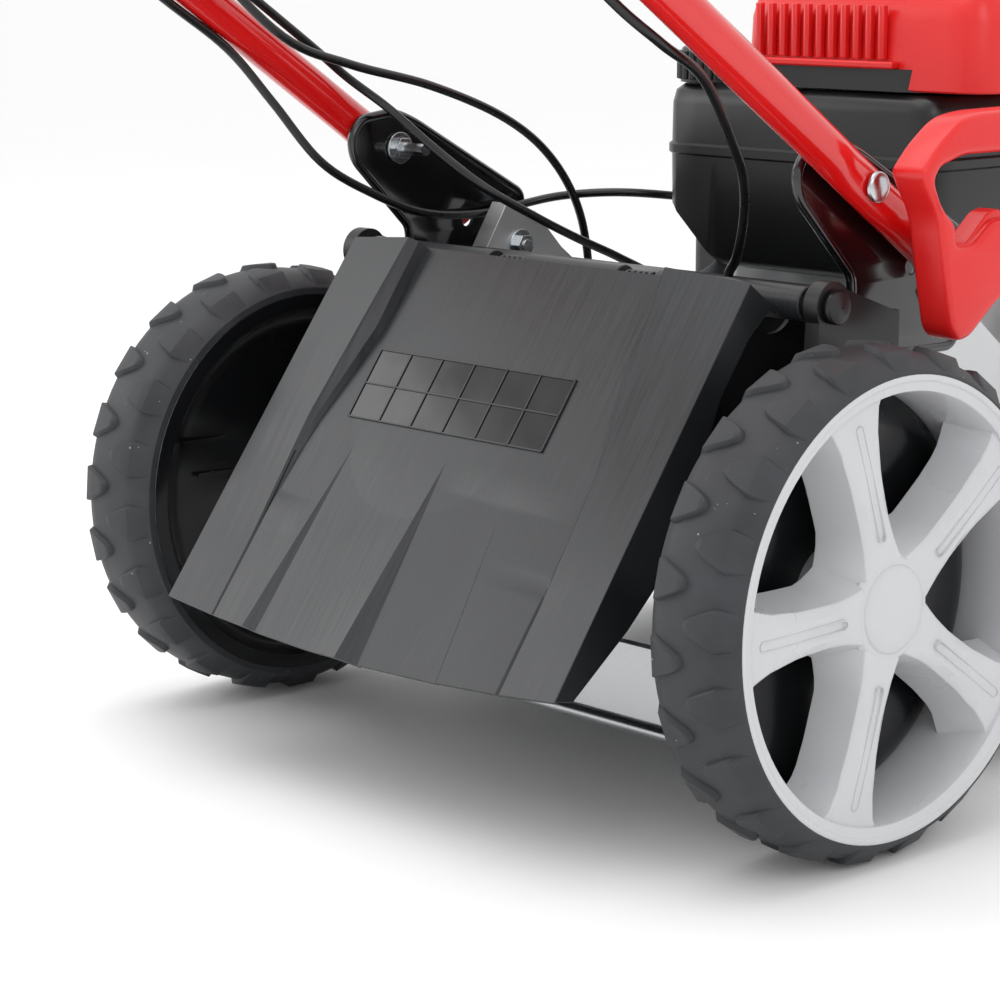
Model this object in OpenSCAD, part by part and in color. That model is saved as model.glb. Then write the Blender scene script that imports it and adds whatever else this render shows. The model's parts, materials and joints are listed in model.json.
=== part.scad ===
// Petrol walk-behind lawn mower: pressed deck, rear discharge flap, spoked wheels with central
// height adjustment, vertical-shaft engine, rear drive gearbox and a folding two-part handle.
// Millimetres. +X is the operator's right, +Y is forward, +Z is up, and Z = 0 is the ground.

/* [Wheels] */
// Rear wheel outer radius
rear_r = 140; // [136:1:142]
// Rear tyre width
rear_w = 61; // [56:1:62]
// Front wheel outer radius
front_r = 100; // [96:1:104]
// Front tyre width
front_w = 50; // [44:1:54]
// Distance from the centreline to the middle of a rear wheel
rear_track = 247.3; // [246:0.1:249]
// Distance from the centreline to the middle of a front wheel
front_track = 243; // [242:1:246]
// Distance between the axles
wheelbase = 600; // [590:1:610]
// Number of spokes in a rim
spokes = 5; // [5:1:7]

/* [Deck] */
// Cutting chamber outer radius
deck_r = 250; // [246:1:252]
// Height of the deck's lower edge
deck_bottom = 45; // [42:1:50]
// Height of the deck's top plate
deck_top = 175; // [174:1:176]
// Deck wall thickness
wall = 4; // [3:0.5:5]
// Blade tip radius
blade_r = 228; // [200:1:232]

/* [Flap] */
// Length of the discharge flap below its hinge
flap_len = 256; // [240:1:260]
// Half width of the flap
flap_half = 168; // [164:1:170]
// Lean of the closed flap away from upright, in degrees
flap_lean = 35.8; // [34:0.1:37]

/* [Handle] */
// Outer radius of the lower tubes
tube_r = 12; // [11:0.5:12]
// Outer radius of the folding upper handle
upper_r = 11; // [10:0.5:11]
// Lean of the handle away from upright, in degrees
handle_lean = 56; // [54:1:58]
// Distance along the handle from the deck bolts to the fold bolts
fold_at = 485; // [470:1:500]
// Distance along the handle from the deck bolts to the cross bar
bar_at = 1160; // [1100:5:1180]

/* [Engine] */
// Crankshaft distance ahead of the rear axle
crank_y = 330; // [325:1:335]
// Height of the fuel tank's underside
tank_z = 282; // [276:1:286]
// Height of the fuel tank's top
tank_top = 396; // [390:1:400]

/* [Hidden] */
$fn = 64;

// Distance from the part's origin forward to the rear axle, which centres the whole part on it
axle_y = 120;
// Running clearance on a radius
run = 0.05;
// Swing shaft of each wheel pair, measured from its wheel centre
swing_y = 62;
swing_z = 10;
swing_r = 9;
stub_r = 8;
// Tyre seats on the rims, and the angle of the first spoke above straight ahead
rear_seat = 122;
front_seat = 84;
spoke_angle = 109;
// Facets in the round end of a swing arm
arc_steps = 14;
deck_half = 205;
arm_x = 207;
arm_t = 6;
link_x = 201.5;
lever_h = 90;
// Flap hinge
hinge_y = 31.3;
hinge_z = 291.3;
rod_r = 4;
flap_front = -29.5;
// Handle bolts on the deck brackets
bolt_y = 52;
bolt_z = 356;
tube_x = 200;
upper_x = tube_x + tube_r + 0.5 + upper_r;
tube_wall = 2;
tube_foot = -84;
bend_r = 60;
bail_r = 4;
stop_at = 1035;
drive_at = 1015;
throttle_at = 900;
// Engine heights above the deck
flange_z = deck_top;
case_top = 281;
fan_z = 306;
oil_x = -97;
oil_y = crank_y + 80;
oil_z = 272;
// Drive pulleys share one plane below the deck's top plate
belt_z = 161;
belt_t = 7;
drive_pulley_r = 22;
box_pulley_r = 35;
box_x = 145;
box_y = 18;
// Cable centreline routes, from the handle controls down to the engine and gearbox
cable_r = 2.8;
stop_route = [[-206, -768, 902], [-206, -700, 856], [-205, -560, 761], [-203, -450, 683], [-200, -350, 608],
  [-200, -300, 574], [-200, -190, 500], [-200, -120, 453], [-198, -74, 422], [-190, -46, 389], [-180, -16, 351],
  [-177.5, 24, 329], [-177.5, 67, 314], [-177.5, 111, 310], [-176, 145, 313], [-162, 176, 319],
  [-130, 200, 322], [-106, 240, 318], [-108, 280, 312]];
drive_route = [[-198, -755, 922], [-196, -700, 887], [-196, -560, 798], [-196, -420, 703], [-194, -300, 622],
  [-184, -190, 548], [-166, -120, 480], [-152, -67, 430], [-150, -16, 412], [-150, 49, 397],
  [-150, 109, 376], [-150, 150, 351], [-150, 178, 317], [-150, 190, 278], [-150, 192, 230], [-150, 192, 176]];
brake_route = [[-205, -763, 909], [-205, -700, 867], [-205, -560, 772], [-202, -450, 705], [-190, -350, 646],
  [-187, -300, 613], [-185, -190, 538], [-184, -90, 470], [-184, -20, 423], [-184, 10, 402], [-172, 34, 382],
  [-146, 50, 357], [-118, 66, 334], [-104, 96, 315], [-100, 130, 299], [-100, 170, 283], [-102, 206, 266],
  [-104, 226, 240]];
throttle_route = [[206, -678, 875], [201, -620, 836], [196, -560, 796], [188, -420, 706], [182, -300, 622],
  [179, -240, 563], [182, -180, 500], [187, -130, 458], [190, -97, 436], [176, -50, 416], [157.5, -5, 377],
  [147.7, 14, 356.5], [132.8, 31, 334.5], [111.7, 49, 310.4], [99, 57, 300], [90, 66, 293]];
filler_x = -60;
filler_y = 218;
filler_r = 31;
hose_route = [[-46, 214, 284], [-48, 206, 276], [-56, 200, 270], [-68, 200, 268], [-80, 206, 266], [-88, 222, 262],
  [-90, 244, 258]];

// ---------- shared shapes ----------
module in_frame() translate([0, axle_y, 0]) children();
module handle_frame() translate([0, bolt_y, bolt_z]) rotate([handle_lean, 0, 0]) children();
module flap_frame() translate([0, hinge_y, hinge_z]) rotate([-flap_lean, 0, 0]) children();
// A cylinder along X from x0 to x1 at (y, z)
module bar_x(x0, x1, r, y = 0, z = 0) translate([x0, y, z]) rotate([0, 90, 0]) cylinder(h = x1 - x0, r = r);
// A profile of (y, z) points extruded along X from x0 to x1
module plate_x(x0, x1, points) translate([x0, 0, 0]) rotate([90, 0, 90])
  linear_extrude(x1 - x0) polygon(points);
module box(a, b) translate(a) cube([b[0] - a[0], b[1] - a[1], b[2] - a[2]]);
module both_sides() {
  children();
  mirror([1, 0, 0]) children();
}
// A rectangle with round corners, built from exact squares and circles
module round_rect(x0, y0, x1, y1, r) {
  translate([x0 + r, y0]) square([x1 - x0 - 2 * r, y1 - y0]);
  translate([x0, y0 + r]) square([x1 - x0, y1 - y0 - 2 * r]);
  for (x = [x0 + r, x1 - r], y = [y0 + r, y1 - r]) translate([x, y]) circle(r);
}
// A tube of n sides swept along a route; the ring frame is carried with X as its reference
function unit(v) = v / norm(v);
function heading(p, i) = unit(p[min(i + 1, len(p) - 1)] - p[max(i - 1, 0)]);
function side_of(t) = unit(cross(t, abs(t[0]) < 0.9 ? [1, 0, 0] : [0, 1, 0]));
module sweep(route, r, n) {
  rings = [for (i = [0:len(route) - 1]) let (t = heading(route, i), u = side_of(t), v = cross(t, u))
    for (k = [0:n - 1]) route[i] + r * (cos(360 * k / n) * u + sin(360 * k / n) * v)];
  last = (len(route) - 1) * n;
  sides = [for (i = [0:len(route) - 2], k = [0:n - 1])
    [i * n + k, i * n + (k + 1) % n, (i + 1) * n + (k + 1) % n, (i + 1) * n + k]];
  polyhedron(rings, concat(sides, [[for (k = [n - 1:-1:0]) k], [for (k = [0:n - 1]) last + k]]));
}

// ---------- deck ----------
module deck_plan(g) {
  translate([0, crank_y]) circle(deck_r - g, $fn = 96);
  translate([-deck_half + g, -30 + g]) square([2 * (deck_half - g), crank_y + 30 - g]);
}
module pillar() plate_x(157, 171, [[92, deck_top - 1], [104, 290], [122, 318], [148, 311], [172, 286],
  [250, 226], [262, deck_top - 1]]);
module deck() color("silver") difference() {
  union() {
    translate([0, 0, deck_bottom]) linear_extrude(deck_top - deck_bottom) deck_plan(0);
    box([-deck_half, 540, 60], [deck_half, 676, 132]);
    both_sides() pillar();
    translate([0, crank_y, deck_top - 1]) cylinder(h = 1, r = 110);
  }
  translate([0, 0, deck_bottom - 1]) linear_extrude(deck_top - wall - deck_bottom + 1) deck_plan(wall);
  box([-deck_half + wall, 584, 59], [deck_half - wall, 672, 128]);
  // Crankshaft and engine bolt holes
  translate([0, crank_y, deck_top - 10]) cylinder(h = 20, r = 40);
  for (a = [30, 150, 270]) translate([0, crank_y, 0]) rotate(a) translate([92, 0, deck_top - 10])
    cylinder(h = 20, r = 4.2);
  // Discharge opening in the top plate and in the rear wall
  box([-156, -31, deck_top - 11], [104, 147, deck_top + 1]);
  box([-deck_half + wall, -31, 97], [deck_half - wall, -25, deck_top - wall]);
  // Swing shaft bores, and room in the side walls for the drive shaft to swing
  bar_x(-220, 220, swing_r + run, swing_y, rear_r + swing_z);
  bar_x(-220, 220, swing_r + run, wheelbase + swing_y, front_r + swing_z);
  both_sides() box([deck_half - wall - 1, -16, 84], [deck_half + 1, 44, 154]);
  both_sides() bar_x(150, 190, 4, 134, 290);
}
module rear_skirt() color("gainsboro") {
  box([-deck_half, -33, 50], [deck_half, -30.1, 97]);
  translate([-deck_half, -34.1, 50]) rotate([0, 90, 0]) difference() {
    cylinder(h = 2 * deck_half, r = 4);
    translate([0, 0, -1]) cylinder(h = 2 * deck_half + 2, r = 1.5);
  }
}
module discharge_chute() color("dimgray") difference() {
  union() {
    plate_x(-155, 103, [[13, 292], [-75, 170], [147, 170], [147, 200], [95, 292]]);
    plate_x(100, 155, [[13, 292], [-69, 178], [147, 178], [147, 200], [95, 292]]);
    box([-199, 84, deck_top], [199, 88, 285]);
    both_sides() plate_x(189, 199, [[12, deck_top], [20, 284], [34, 303], [84, 285], [88, deck_top]]);
    both_sides() bar_x(189, 199, 14, hinge_y, hinge_z);
  }
  plate_x(-152, 100, [[92, 289], [143.5, 199], [143.5, 160], [78, 160], [78, 173], [-120, 173],
    [-120, 300], [13, 300], [13, 289]]);
  plate_x(99, 152, [[92, 289], [143.5, 199], [143.5, 181], [-120, 181], [-120, 300], [13, 300], [13, 289]]);
  bar_x(-184, 184, 19, hinge_y, hinge_z);
  // Slots for the handle brackets
  both_sides() box([182.5, 83, 251], [188.5, 89, 290]);
  bar_x(-210, 210, rod_r + run, hinge_y, hinge_z);
}

// ---------- flap ----------
module flap_ridge() hull() {
  translate([94, flap_front - 10.5, -9]) cube([16, 12, 1]);
  translate([124, flap_front - 0.5, -205]) cube([6, 2, 1]);
}
module flap() color("darkslategray") flap_frame() difference() {
  union() {
    box([-flap_half, flap_front, -8 - flap_len], [flap_half, flap_front + 3, -8]);
    both_sides() plate_x(flap_half - 3, flap_half, [[flap_front, -8], [flap_front, -8 - flap_len],
      [-13, -258], [8, -160], [-4, -110], [-12, -70], [-11, -33], [-5, -8]]);
    both_sides() flap_ridge();
    // Top flange and hinge barrel
    box([-flap_half, flap_front, -11], [flap_half, -4, -8]);
    box([-flap_half, -8, -11], [flap_half, -4, 4]);
    both_sides() bar_x(70, 182, 10);
    bar_x(-40, 40, 10);
    both_sides() box([flap_half - 3, -6, -8], [flap_half, 0, 8]);
  }
  bar_x(-200, 200, rod_r + run);
  // Windows for the springs
  both_sides() box([42, -9, -8], [66, -3, 5]);
}
module flap_hinge_rod() color("silver") union() {
  bar_x(-204, 204, rod_r, hinge_y, hinge_z);
  both_sides() bar_x(200, 204, 8, hinge_y, hinge_z);
}
module flap_spring() color("gray") translate([0, hinge_y, hinge_z]) both_sides() {
  for (k = [0:4]) translate([44 + 4.6 * k, 0, 0]) rotate([0, 90, 0])
    rotate_extrude($fn = 32) translate([6.6, 0]) circle(1, $fn = 16);
  bar_x(43.2, 63.4, 0.9, 0, 6.6);
}

// ---------- handle brackets ----------
module bracket_plate() difference() {
  plate_x(183, 188, [[12, 367], [20, 378], [48, 382], [67, 375], [165, 320], [160, 303], [156, 252],
    [84, 252], [66, 267], [32, 267], [32, 273], [54, 278], [62, 288], [60, 304], [14, 352]]);
  bar_x(180, 190, 4.1, bolt_y, bolt_z);
  bar_x(180, 190, 4.1, 134, 290);
  bar_x(180, 190, 4.5, 112, 306);
}
module handle_bracket_left() color("black") mirror([1, 0, 0]) bracket_plate();
module handle_bracket_right() color("black") bracket_plate();
// Carriage bolts through tube and bracket, and hexagon bolts into the deck's pillars
module handle_bolts() color("lightgray") both_sides() {
  translate([0, bolt_y, bolt_z]) {
    bar_x(175, 213, 4);
    bar_x(212, 214.8, 8.5);
    bar_x(182 - 7, 182, 6.5, $fn = 6);
    bar_x(181, 183, 9);
  }
  translate([0, 134, 290]) {
    bar_x(157, 188.2, 3.95);
    bar_x(171, 183, 6);
    bar_x(188, 193, 7, $fn = 6);
  }
}

// ---------- wheels ----------
// Spinning parts are drawn about their own axle, with +X outwards on the right-hand side
module wheel_place(x, y, z) translate([x, y, z]) rotate([0, 90, 0]) rotate(90) children();
module tyre(r, w, seat) rotate_extrude($fn = 96) polygon([[seat, -w / 2 + 1], [seat + 2, -w / 2],
  [r - 7, -w / 2], [r - 2, -w / 2 + 6], [r, -w / 2 + 14], [r, w / 2 - 14], [r - 2, w / 2 - 6], [r - 7, w / 2],
  [seat + 4.1, w / 2], [seat + 4.1, w / 2 - 1.6], [seat, w / 2 - 2.1]]);
module rim(seat, w, hub_r, first) difference() {
  union() {
    rotate_extrude($fn = 96) polygon([[seat - 5, -w / 2], [seat, -w / 2], [seat, w / 2 - 2.5],
      [seat + 4, w / 2 - 2], [seat + 4, w / 2], [seat - 3, w / 2], [seat - 5, w / 2 - 4]]);
    translate([0, 0, -w / 2 + 4]) cylinder(h = w - 12, r = hub_r);
    translate([0, 0, w / 2 - 20]) linear_extrude(14) for (k = [0:spokes - 1])
      rotate(first + 360 / spokes * k) polygon([[hub_r - 14, -0.14 * seat], [seat * 0.55, -0.09 * seat],
        [seat - 3.5, -0.2 * seat], [seat - 3.5, 0.2 * seat], [seat * 0.55, 0.09 * seat],
        [hub_r - 14, 0.14 * seat]]);
  }
  translate([0, 0, -w]) cylinder(h = 2 * w, r = 14);
  // Recess for the hub cap
  translate([0, 0, w / 2 - 8.1]) cylinder(h = 9, r = 25.2);
}
module rear_wheel_place(side) mirror([side < 0 ? 1 : 0, 0, 0]) wheel_place(rear_track, 0, rear_r) children();
module front_wheel_place(side) mirror([side < 0 ? 1 : 0, 0, 0])
  wheel_place(front_track, wheelbase, front_r) children();
module tyre_rear_left() color("#3a3c3f") rear_wheel_place(-1) tyre(rear_r, rear_w, rear_seat);
module tyre_rear_right() color("#3a3c3f") rear_wheel_place(1) tyre(rear_r, rear_w, rear_seat);
module tyre_front_left() color("#3a3c3f") front_wheel_place(-1) tyre(front_r, front_w, front_seat);
module tyre_front_right() color("#3a3c3f") front_wheel_place(1) tyre(front_r, front_w, front_seat);
module rim_rear_left() color("silver") rear_wheel_place(-1) rim(rear_seat, rear_w + 1, 30, spoke_angle);
module rim_rear_right() color("silver") rear_wheel_place(1) rim(rear_seat, rear_w + 1, 30, spoke_angle);
module rim_front_left() color("silver") front_wheel_place(-1) rim(front_seat, front_w + 1, 24, spoke_angle);
module rim_front_right() color("silver") front_wheel_place(1) rim(front_seat, front_w + 1, 24, spoke_angle);
// Dished cover behind the spokes, fixed to the rim
module wheel_disc() rotate_extrude($fn = 96) polygon([[31, -20], [31, -17], [60, -14], [100, -12], [116, -22],
  [116.9, -22], [116.9, -31], [113, -31], [112, -25], [98, -15], [60, -17]]);
module wheel_disc_left() color("black") rear_wheel_place(-1) wheel_disc();
module wheel_disc_right() color("black") rear_wheel_place(1) wheel_disc();
// Snap-in cap over the axle nut
module hub_cap() union() {
  translate([0, 0, 23]) cylinder(h = 2, r = 25);
  translate([0, 0, 18]) difference() {
    cylinder(h = 5.5, r = 13.9);
    translate([0, 0, -1]) cylinder(h = 5, r = 11.9);
  }
}
module hub_cap_left() color("silver") rear_wheel_place(-1) hub_cap();
module hub_cap_right() color("silver") rear_wheel_place(1) hub_cap();
// Flanged bushes pressed on the stub shafts; each rim turns on them
module bush(half, r) difference() {
  translate([0, 0, -half]) cylinder(h = 2 * half - 10, r = r);
  translate([0, 0, -half - 1]) cylinder(h = 2 * half, r = stub_r);
}
module wheel_bushes_rear() color("khaki") both_sides() rear_wheel_place(1) bush(rear_w / 2 - 3, 14 - run);
module wheel_bushes_front() color("khaki") both_sides() front_wheel_place(1) bush(front_w / 2 - 2, 14 - run);

// ---------- height adjustment ----------
// Outline of a flat arm with round ends between two points of (y, z)
function half_round(c, r, a) = [for (k = [0:arc_steps]) c + r * [cos(a + 180 * k / arc_steps),
  sin(a + 180 * k / arc_steps)]];
function arm_outline(a, b, r) = let (h = atan2(b[1] - a[1], b[0] - a[0]))
  concat(half_round(a, r, h + 90), half_round(b, r, h - 90));
module swing_set(y, z) {
  pivot = [y + swing_y, z + swing_z];
  lever = [pivot[0], pivot[1] + lever_h];
  union() {
    bar_x(-arm_x - arm_t - 1, arm_x + arm_t + 1, swing_r, pivot[0], pivot[1]);
    both_sides() plate_x(arm_x, arm_x + arm_t, arm_outline([y, z], pivot, 13));
    plate_x(-arm_x - arm_t + 0.5, -arm_x - 0.5, arm_outline(pivot, lever, 11));
    bar_x(-arm_x - 1, -link_x + 1.5, 4, lever[0], lever[1]);
  }
}
module rear_axle() color("dimgray") union() {
  swing_set(0, rear_r);
  bar_x(-262, 262, stub_r, 0, rear_r);
}
module front_axle() color("dimgray") union() {
  swing_set(wheelbase, front_r);
  both_sides() bar_x(arm_x, 262, stub_r, wheelbase, front_r);
}
// Flat rod that makes the front arms follow the rear arms; its front hole is wide for free movement
module height_link() color("silver") difference() {
  top = [[swing_y, rear_r + swing_z + lever_h], [wheelbase + swing_y, front_r + swing_z + lever_h]];
  slope = atan2(top[1][1] - top[0][1], wheelbase);
  translate([-link_x - 5, 0, 0]) union() {
    for (p = top) bar_x(0, 5, 9, p[0], p[1]);
    translate([0, top[0][0], top[0][1]]) rotate([slope, 0, 0]) translate([0, 0, -5])
      cube([5, norm(top[1] - top[0]), 10]);
  }
  bar_x(-link_x - 6, -link_x + 1, 4 + run, top[0][0], top[0][1]);
  bar_x(-link_x - 6, -link_x + 1, 5.5, top[1][0], top[1][1]);
}
// Loop handle beside the right-hand tube; its trigger frees the height latch
module height_handle() color("red") difference() {
  plate_x(222, 246, [[46, 366], [60, 380], [79, 393], [98, 396], [168, 397], [190, 384], [196, 360],
    [186, 325], [150, 305], [117, 292], [92, 273], [82, 272], [76, 279], [70, 305], [62, 341], [51, 357]]);
  plate_x(221, 247, [[58, 361], [63, 368], [84, 373.5], [160, 373.5], [168, 360], [164, 338], [112, 337],
    [94, 324], [78, 325], [78, 336], [65, 347]]);
  // Slot that the trigger slides in
  box([225.5, 85.5, 304], [240.5, 126.5, 340]);
}
module height_trigger() color("firebrick") plate_x(226, 240, [[86, 306], [86, 322], [94, 325], [112, 340],
  [122, 342], [126, 338], [126, 306]]);

// ---------- engine ----------
module at_crank() translate([0, crank_y, 0]) children();
module crankcase() color("silver") difference() {
  union() {
    at_crank() translate([0, 0, flange_z]) cylinder(h = 8, r = 104);
    translate([0, 0, flange_z + 4]) linear_extrude(case_top - flange_z - 4)
      round_rect(-78, crank_y - 88, 78, crank_y + 70, 18);
    at_crank() translate([0, 0, case_top - 1]) cylinder(h = 10, r = 30);
    // Oil filler neck on its own lug
    translate([oil_x, oil_y, 200]) cylinder(h = oil_z - 200, r = 13);
    box([oil_x, oil_y - 26, 200], [-60, oil_y - 4, 226]);
  }
  at_crank() translate([0, 0, flange_z - 1]) cylinder(h = 140, r = 11 + run);
  at_crank() translate([0, 0, 190]) cylinder(h = case_top - 200, r = 62);
  translate([0, crank_y, 232]) rotate([-90, 0, 0]) cylinder(h = 80, r = 27);
  for (a = [30, 150, 270]) at_crank() rotate(a) translate([92, 0, flange_z - 1]) cylinder(h = 12, r = 4.2);
  translate([oil_x, oil_y, 240]) cylinder(h = 60, r = 10.1);
}
module cylinder_block() color("lightgray") difference() {
  translate([0, crank_y + 70, 232]) rotate([-90, 0, 0]) {
    cylinder(h = 96, r = 34);
    for (k = [0:7]) translate([-52, -50, 6 + 11 * k]) cube([104, 92, 3.5]);
    translate([-50, -46, 92]) cube([100, 84, 26]);
  }
  translate([0, crank_y + 60, 232]) rotate([-90, 0, 0]) cylinder(h = 100, r = 26);
  translate([20, crank_y + 170, 232]) rotate([-90, 0, 0]) cylinder(h = 30, r = 5);
}
module spark_plug() color("white") translate([20, crank_y + 170, 232]) rotate([-90, 0, 0]) union() {
  cylinder(h = 18, r = 4.95);
  translate([0, 0, 18]) cylinder(h = 8, r = 10.5, $fn = 6);
  translate([0, 0, 26]) cylinder(h = 12, r = 7);
  translate([0, 0, 38]) cylinder(h = 18, r = 9);
}
module carburettor() color("lightgray") union() {
  box([-106, crank_y + 6, 214], [-78, crank_y + 44, 262]);
  translate([-92, crank_y + 25, 196]) cylinder(h = 19, r = 13.5);
  translate([-122, crank_y + 25, 240]) rotate([0, 90, 0]) cylinder(h = 17, r = 15);
}
module air_filter() color("black") difference() {
  translate([0, 0, 206]) linear_extrude(96) round_rect(-168, crank_y - 22, -122, crank_y + 84, 12);
  translate([0, 0, 209]) linear_extrude(90) round_rect(-165, crank_y - 19, -125, crank_y + 81, 9);
  translate([-130, crank_y + 25, 240]) rotate([0, 90, 0]) cylinder(h = 20, r = 11);
}
module muffler() color("dimgray") difference() {
  union() {
    translate([0, 0, 186]) linear_extrude(82) round_rect(84, crank_y + 74, 168, crank_y + 150, 14);
    translate([52.2, crank_y + 112, 222]) rotate([0, 90, 0]) cylinder(h = 38, r = 11);
  }
  translate([0, 0, 188]) linear_extrude(78) round_rect(86, crank_y + 76, 166, crank_y + 148, 12);
  for (k = [0:4], j = [0:2]) translate([160, crank_y + 90 + 11 * k, 208 + 18 * j]) rotate([0, 90, 0])
    cylinder(h = 12, r = 3);
}
module crankshaft() color("silver") at_crank() difference() {
  union() {
    translate([0, 0, 84]) cylinder(h = 136, r = 11);
    translate([0, 0, 216]) cylinder(h = 12, r = 36);
    translate([-20, -36, 216]) cube([40, 16, 12]);
    translate([22, 0, 226]) cylinder(h = 14, r = 13);
    translate([0, 0, 238]) cylinder(h = 12, r = 36);
    translate([0, 0, 250]) cylinder(h = 78, r = 11);
  }
  translate([0, 0, 83]) cylinder(h = 40, r = 4.75);
}
// Flywheel with cooling fan blades on its upper face
module flywheel() color("gray") at_crank() difference() {
  union() {
    translate([0, 0, fan_z]) cylinder(h = 22, r = 78);
    for (k = [0:15]) rotate(22.5 * k) translate([44, -1.5, fan_z + 20]) cube([34, 3, 24]);
    translate([0, 0, fan_z]) cylinder(h = 36, r = 18);
  }
  translate([0, 0, fan_z - 1]) cylinder(h = 23, r = 11);
}
// Volute that guides the fan's air forward over the cylinder
module blower_housing() color("black") difference() {
  union() {
    at_crank() translate([0, 0, 296]) cylinder(h = 98, r = 100);
    box([-62, crank_y, 296], [62, crank_y + 170, 372]);
  }
  at_crank() translate([0, 0, 299]) cylinder(h = 92, r = 97);
  box([-59, crank_y, 290], [59, crank_y + 167, 369]);
  at_crank() translate([0, 0, 290]) cylinder(h = 20, r = 40);
  at_crank() translate([0, 0, 380]) cylinder(h = 20, r = 60);
}
module cover_plan(g) round_rect(-26 + g, 196 + g, 168 - g, crank_y + 120 - g, 26);
module engine_cover() color("red") difference() {
  union() {
    translate([0, 0, 398]) linear_extrude(52) cover_plan(0);
    translate([0, 0, 449]) linear_extrude(12) cover_plan(8);
    translate([0, 0, 460]) linear_extrude(8) cover_plan(22);
  }
  translate([0, 0, 397]) linear_extrude(50) cover_plan(3);
  translate([0, 0, 440]) linear_extrude(18) cover_plan(11);
  translate([0, 0, 450]) linear_extrude(15) cover_plan(25);
  // Air slots along the rear wall
  for (k = [0:9]) box([4 + 9 * k, 190, 408], [7.5 + 9 * k, 210, 444]);
  // Starter rope outlet
  translate([60, 250, 450]) cylinder(h = 40, r = 7);
}
module tank_plan(g) difference() {
  union() {
    round_rect(-78 + g, 187 + g, 141 - g, 322 - g, 22);
    translate([filler_x, filler_y]) circle(filler_r - g);
  }
  translate([0, crank_y]) circle(103 + g, $fn = 96);
}
module fuel_tank() color("#202124") difference() {
  union() {
    translate([0, 0, tank_z]) linear_extrude(tank_top - tank_z) tank_plan(2);
    // Weld rim where the two moulded halves meet
    translate([0, 0, 352]) linear_extrude(6) tank_plan(0);
  }
  translate([0, 0, tank_z + 3]) linear_extrude(tank_top - tank_z - 6) tank_plan(5);
  translate([filler_x, filler_y, tank_top - 20]) cylinder(h = 40, r = 17.5);
  // Chamfer under the filler
  translate([0, 400, 0]) rotate([90, 0, 0]) linear_extrude(300)
    polygon([[-120, 270], [-120, 318], [-76, 318], [-32, 281], [-32, 270]]);
}
module fuel_cap() color("black") translate([filler_x, filler_y, tank_top + 0.3]) difference() {
  union() {
    cylinder(h = 26, r = 25);
    for (k = [0:17]) rotate(20 * k) translate([24, 0, 0]) cylinder(h = 22, r = 2.6, $fn = 16);
    translate([0, 0, -14]) cylinder(h = 15, r = 17);
  }
  translate([0, 0, -15]) cylinder(h = 30, r = 14);
}
module fuel_hose() color("dimgray") sweep(hose_route, 5.5, 12);
module oil_cap() color("yellow") translate([oil_x, oil_y, oil_z + 0.3]) union() {
  cylinder(h = 10, r = 15);
  translate([-3, -14, 9]) cube([6, 28, 12]);
  translate([0, 0, -30]) cylinder(h = 31, r = 9.9);
}
module starter_grip() color("black") translate([60, 250, 486]) union() {
  translate([-42, 0, 6]) rotate([0, 90, 0]) cylinder(h = 84, r = 10);
  translate([0, 0, -8]) cylinder(h = 10, r = 8);
}
module starter_rope() color("white") translate([60, 250, 440]) cylinder(h = 38, r = 2.2);

// ---------- blade and drive ----------
module blade_adapter() color("gray") at_crank() difference() {
  union() {
    translate([0, 0, 66]) cylinder(h = belt_z - 66, r = 17);
    translate([0, 0, 66]) cylinder(h = 7, r = 36);
    translate([0, 0, belt_z - 3]) cylinder(h = 3, r = drive_pulley_r + 5);
    translate([0, 0, belt_z - 0.5]) cylinder(h = belt_t + 1, r = drive_pulley_r - 0.5);
  }
  translate([0, 0, 84]) cylinder(h = 100, r = 11);
  translate([0, 0, 60]) cylinder(h = 30, r = 5);
}
// Flat blade with wing-shaped trailing edges at its tips
module blade() color("dimgray") at_crank() difference() {
  union() {
    intersection() {
      translate([-blade_r, -26, 62]) cube([2 * blade_r, 52, 4]);
      cylinder(h = 200, r = blade_r, $fn = 96);
    }
    for (a = [0, 180]) rotate(a) translate([140, 22, 62]) rotate([38, 0, 0]) cube([76, 18, 4]);
  }
  translate([0, 0, 50]) cylinder(h = 30, r = 5);
}
module blade_bolt() color("lightgray") at_crank() union() {
  translate([0, 0, 53]) cylinder(h = 7, r = 9, $fn = 6);
  translate([0, 0, 60]) cylinder(h = 2, r = 18);
  translate([0, 0, 61]) cylinder(h = 48, r = 4.7);
}
module gearbox() color("darkgray") difference() {
  union() {
    translate([box_x - 33, 0, rear_r]) rotate([0, 90, 0]) cylinder(h = 66, r = 20);
    box([box_x - 24, -16, 122], [box_x + 24, 46, 157]);
    translate([box_x, box_y, 150]) cylinder(h = belt_z - 1 - 150, r = 12);
  }
  bar_x(90, 200, stub_r, 0, rear_r);
  translate([box_x, box_y, 152]) cylinder(h = 20, r = 5 + run);
}
module gearbox_pulley() color("silver") translate([box_x, box_y, 0]) union() {
  translate([0, 0, belt_z - 0.5]) cylinder(h = belt_t + 1, r = box_pulley_r - 0.5);
  translate([0, 0, 153]) cylinder(h = 10, r = 5);
}
// Flat loop round both pulleys, drawn with its tangent runs straight
module belt_loop(g) hull() {
  translate([0, crank_y]) circle(drive_pulley_r + g, $fn = 32);
  translate([box_x, box_y]) circle(box_pulley_r + g, $fn = 32);
}
module drive_belt() color("#303030") translate([0, 0, belt_z]) linear_extrude(belt_t) difference() {
  belt_loop(6);
  belt_loop(0.6);
}

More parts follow.
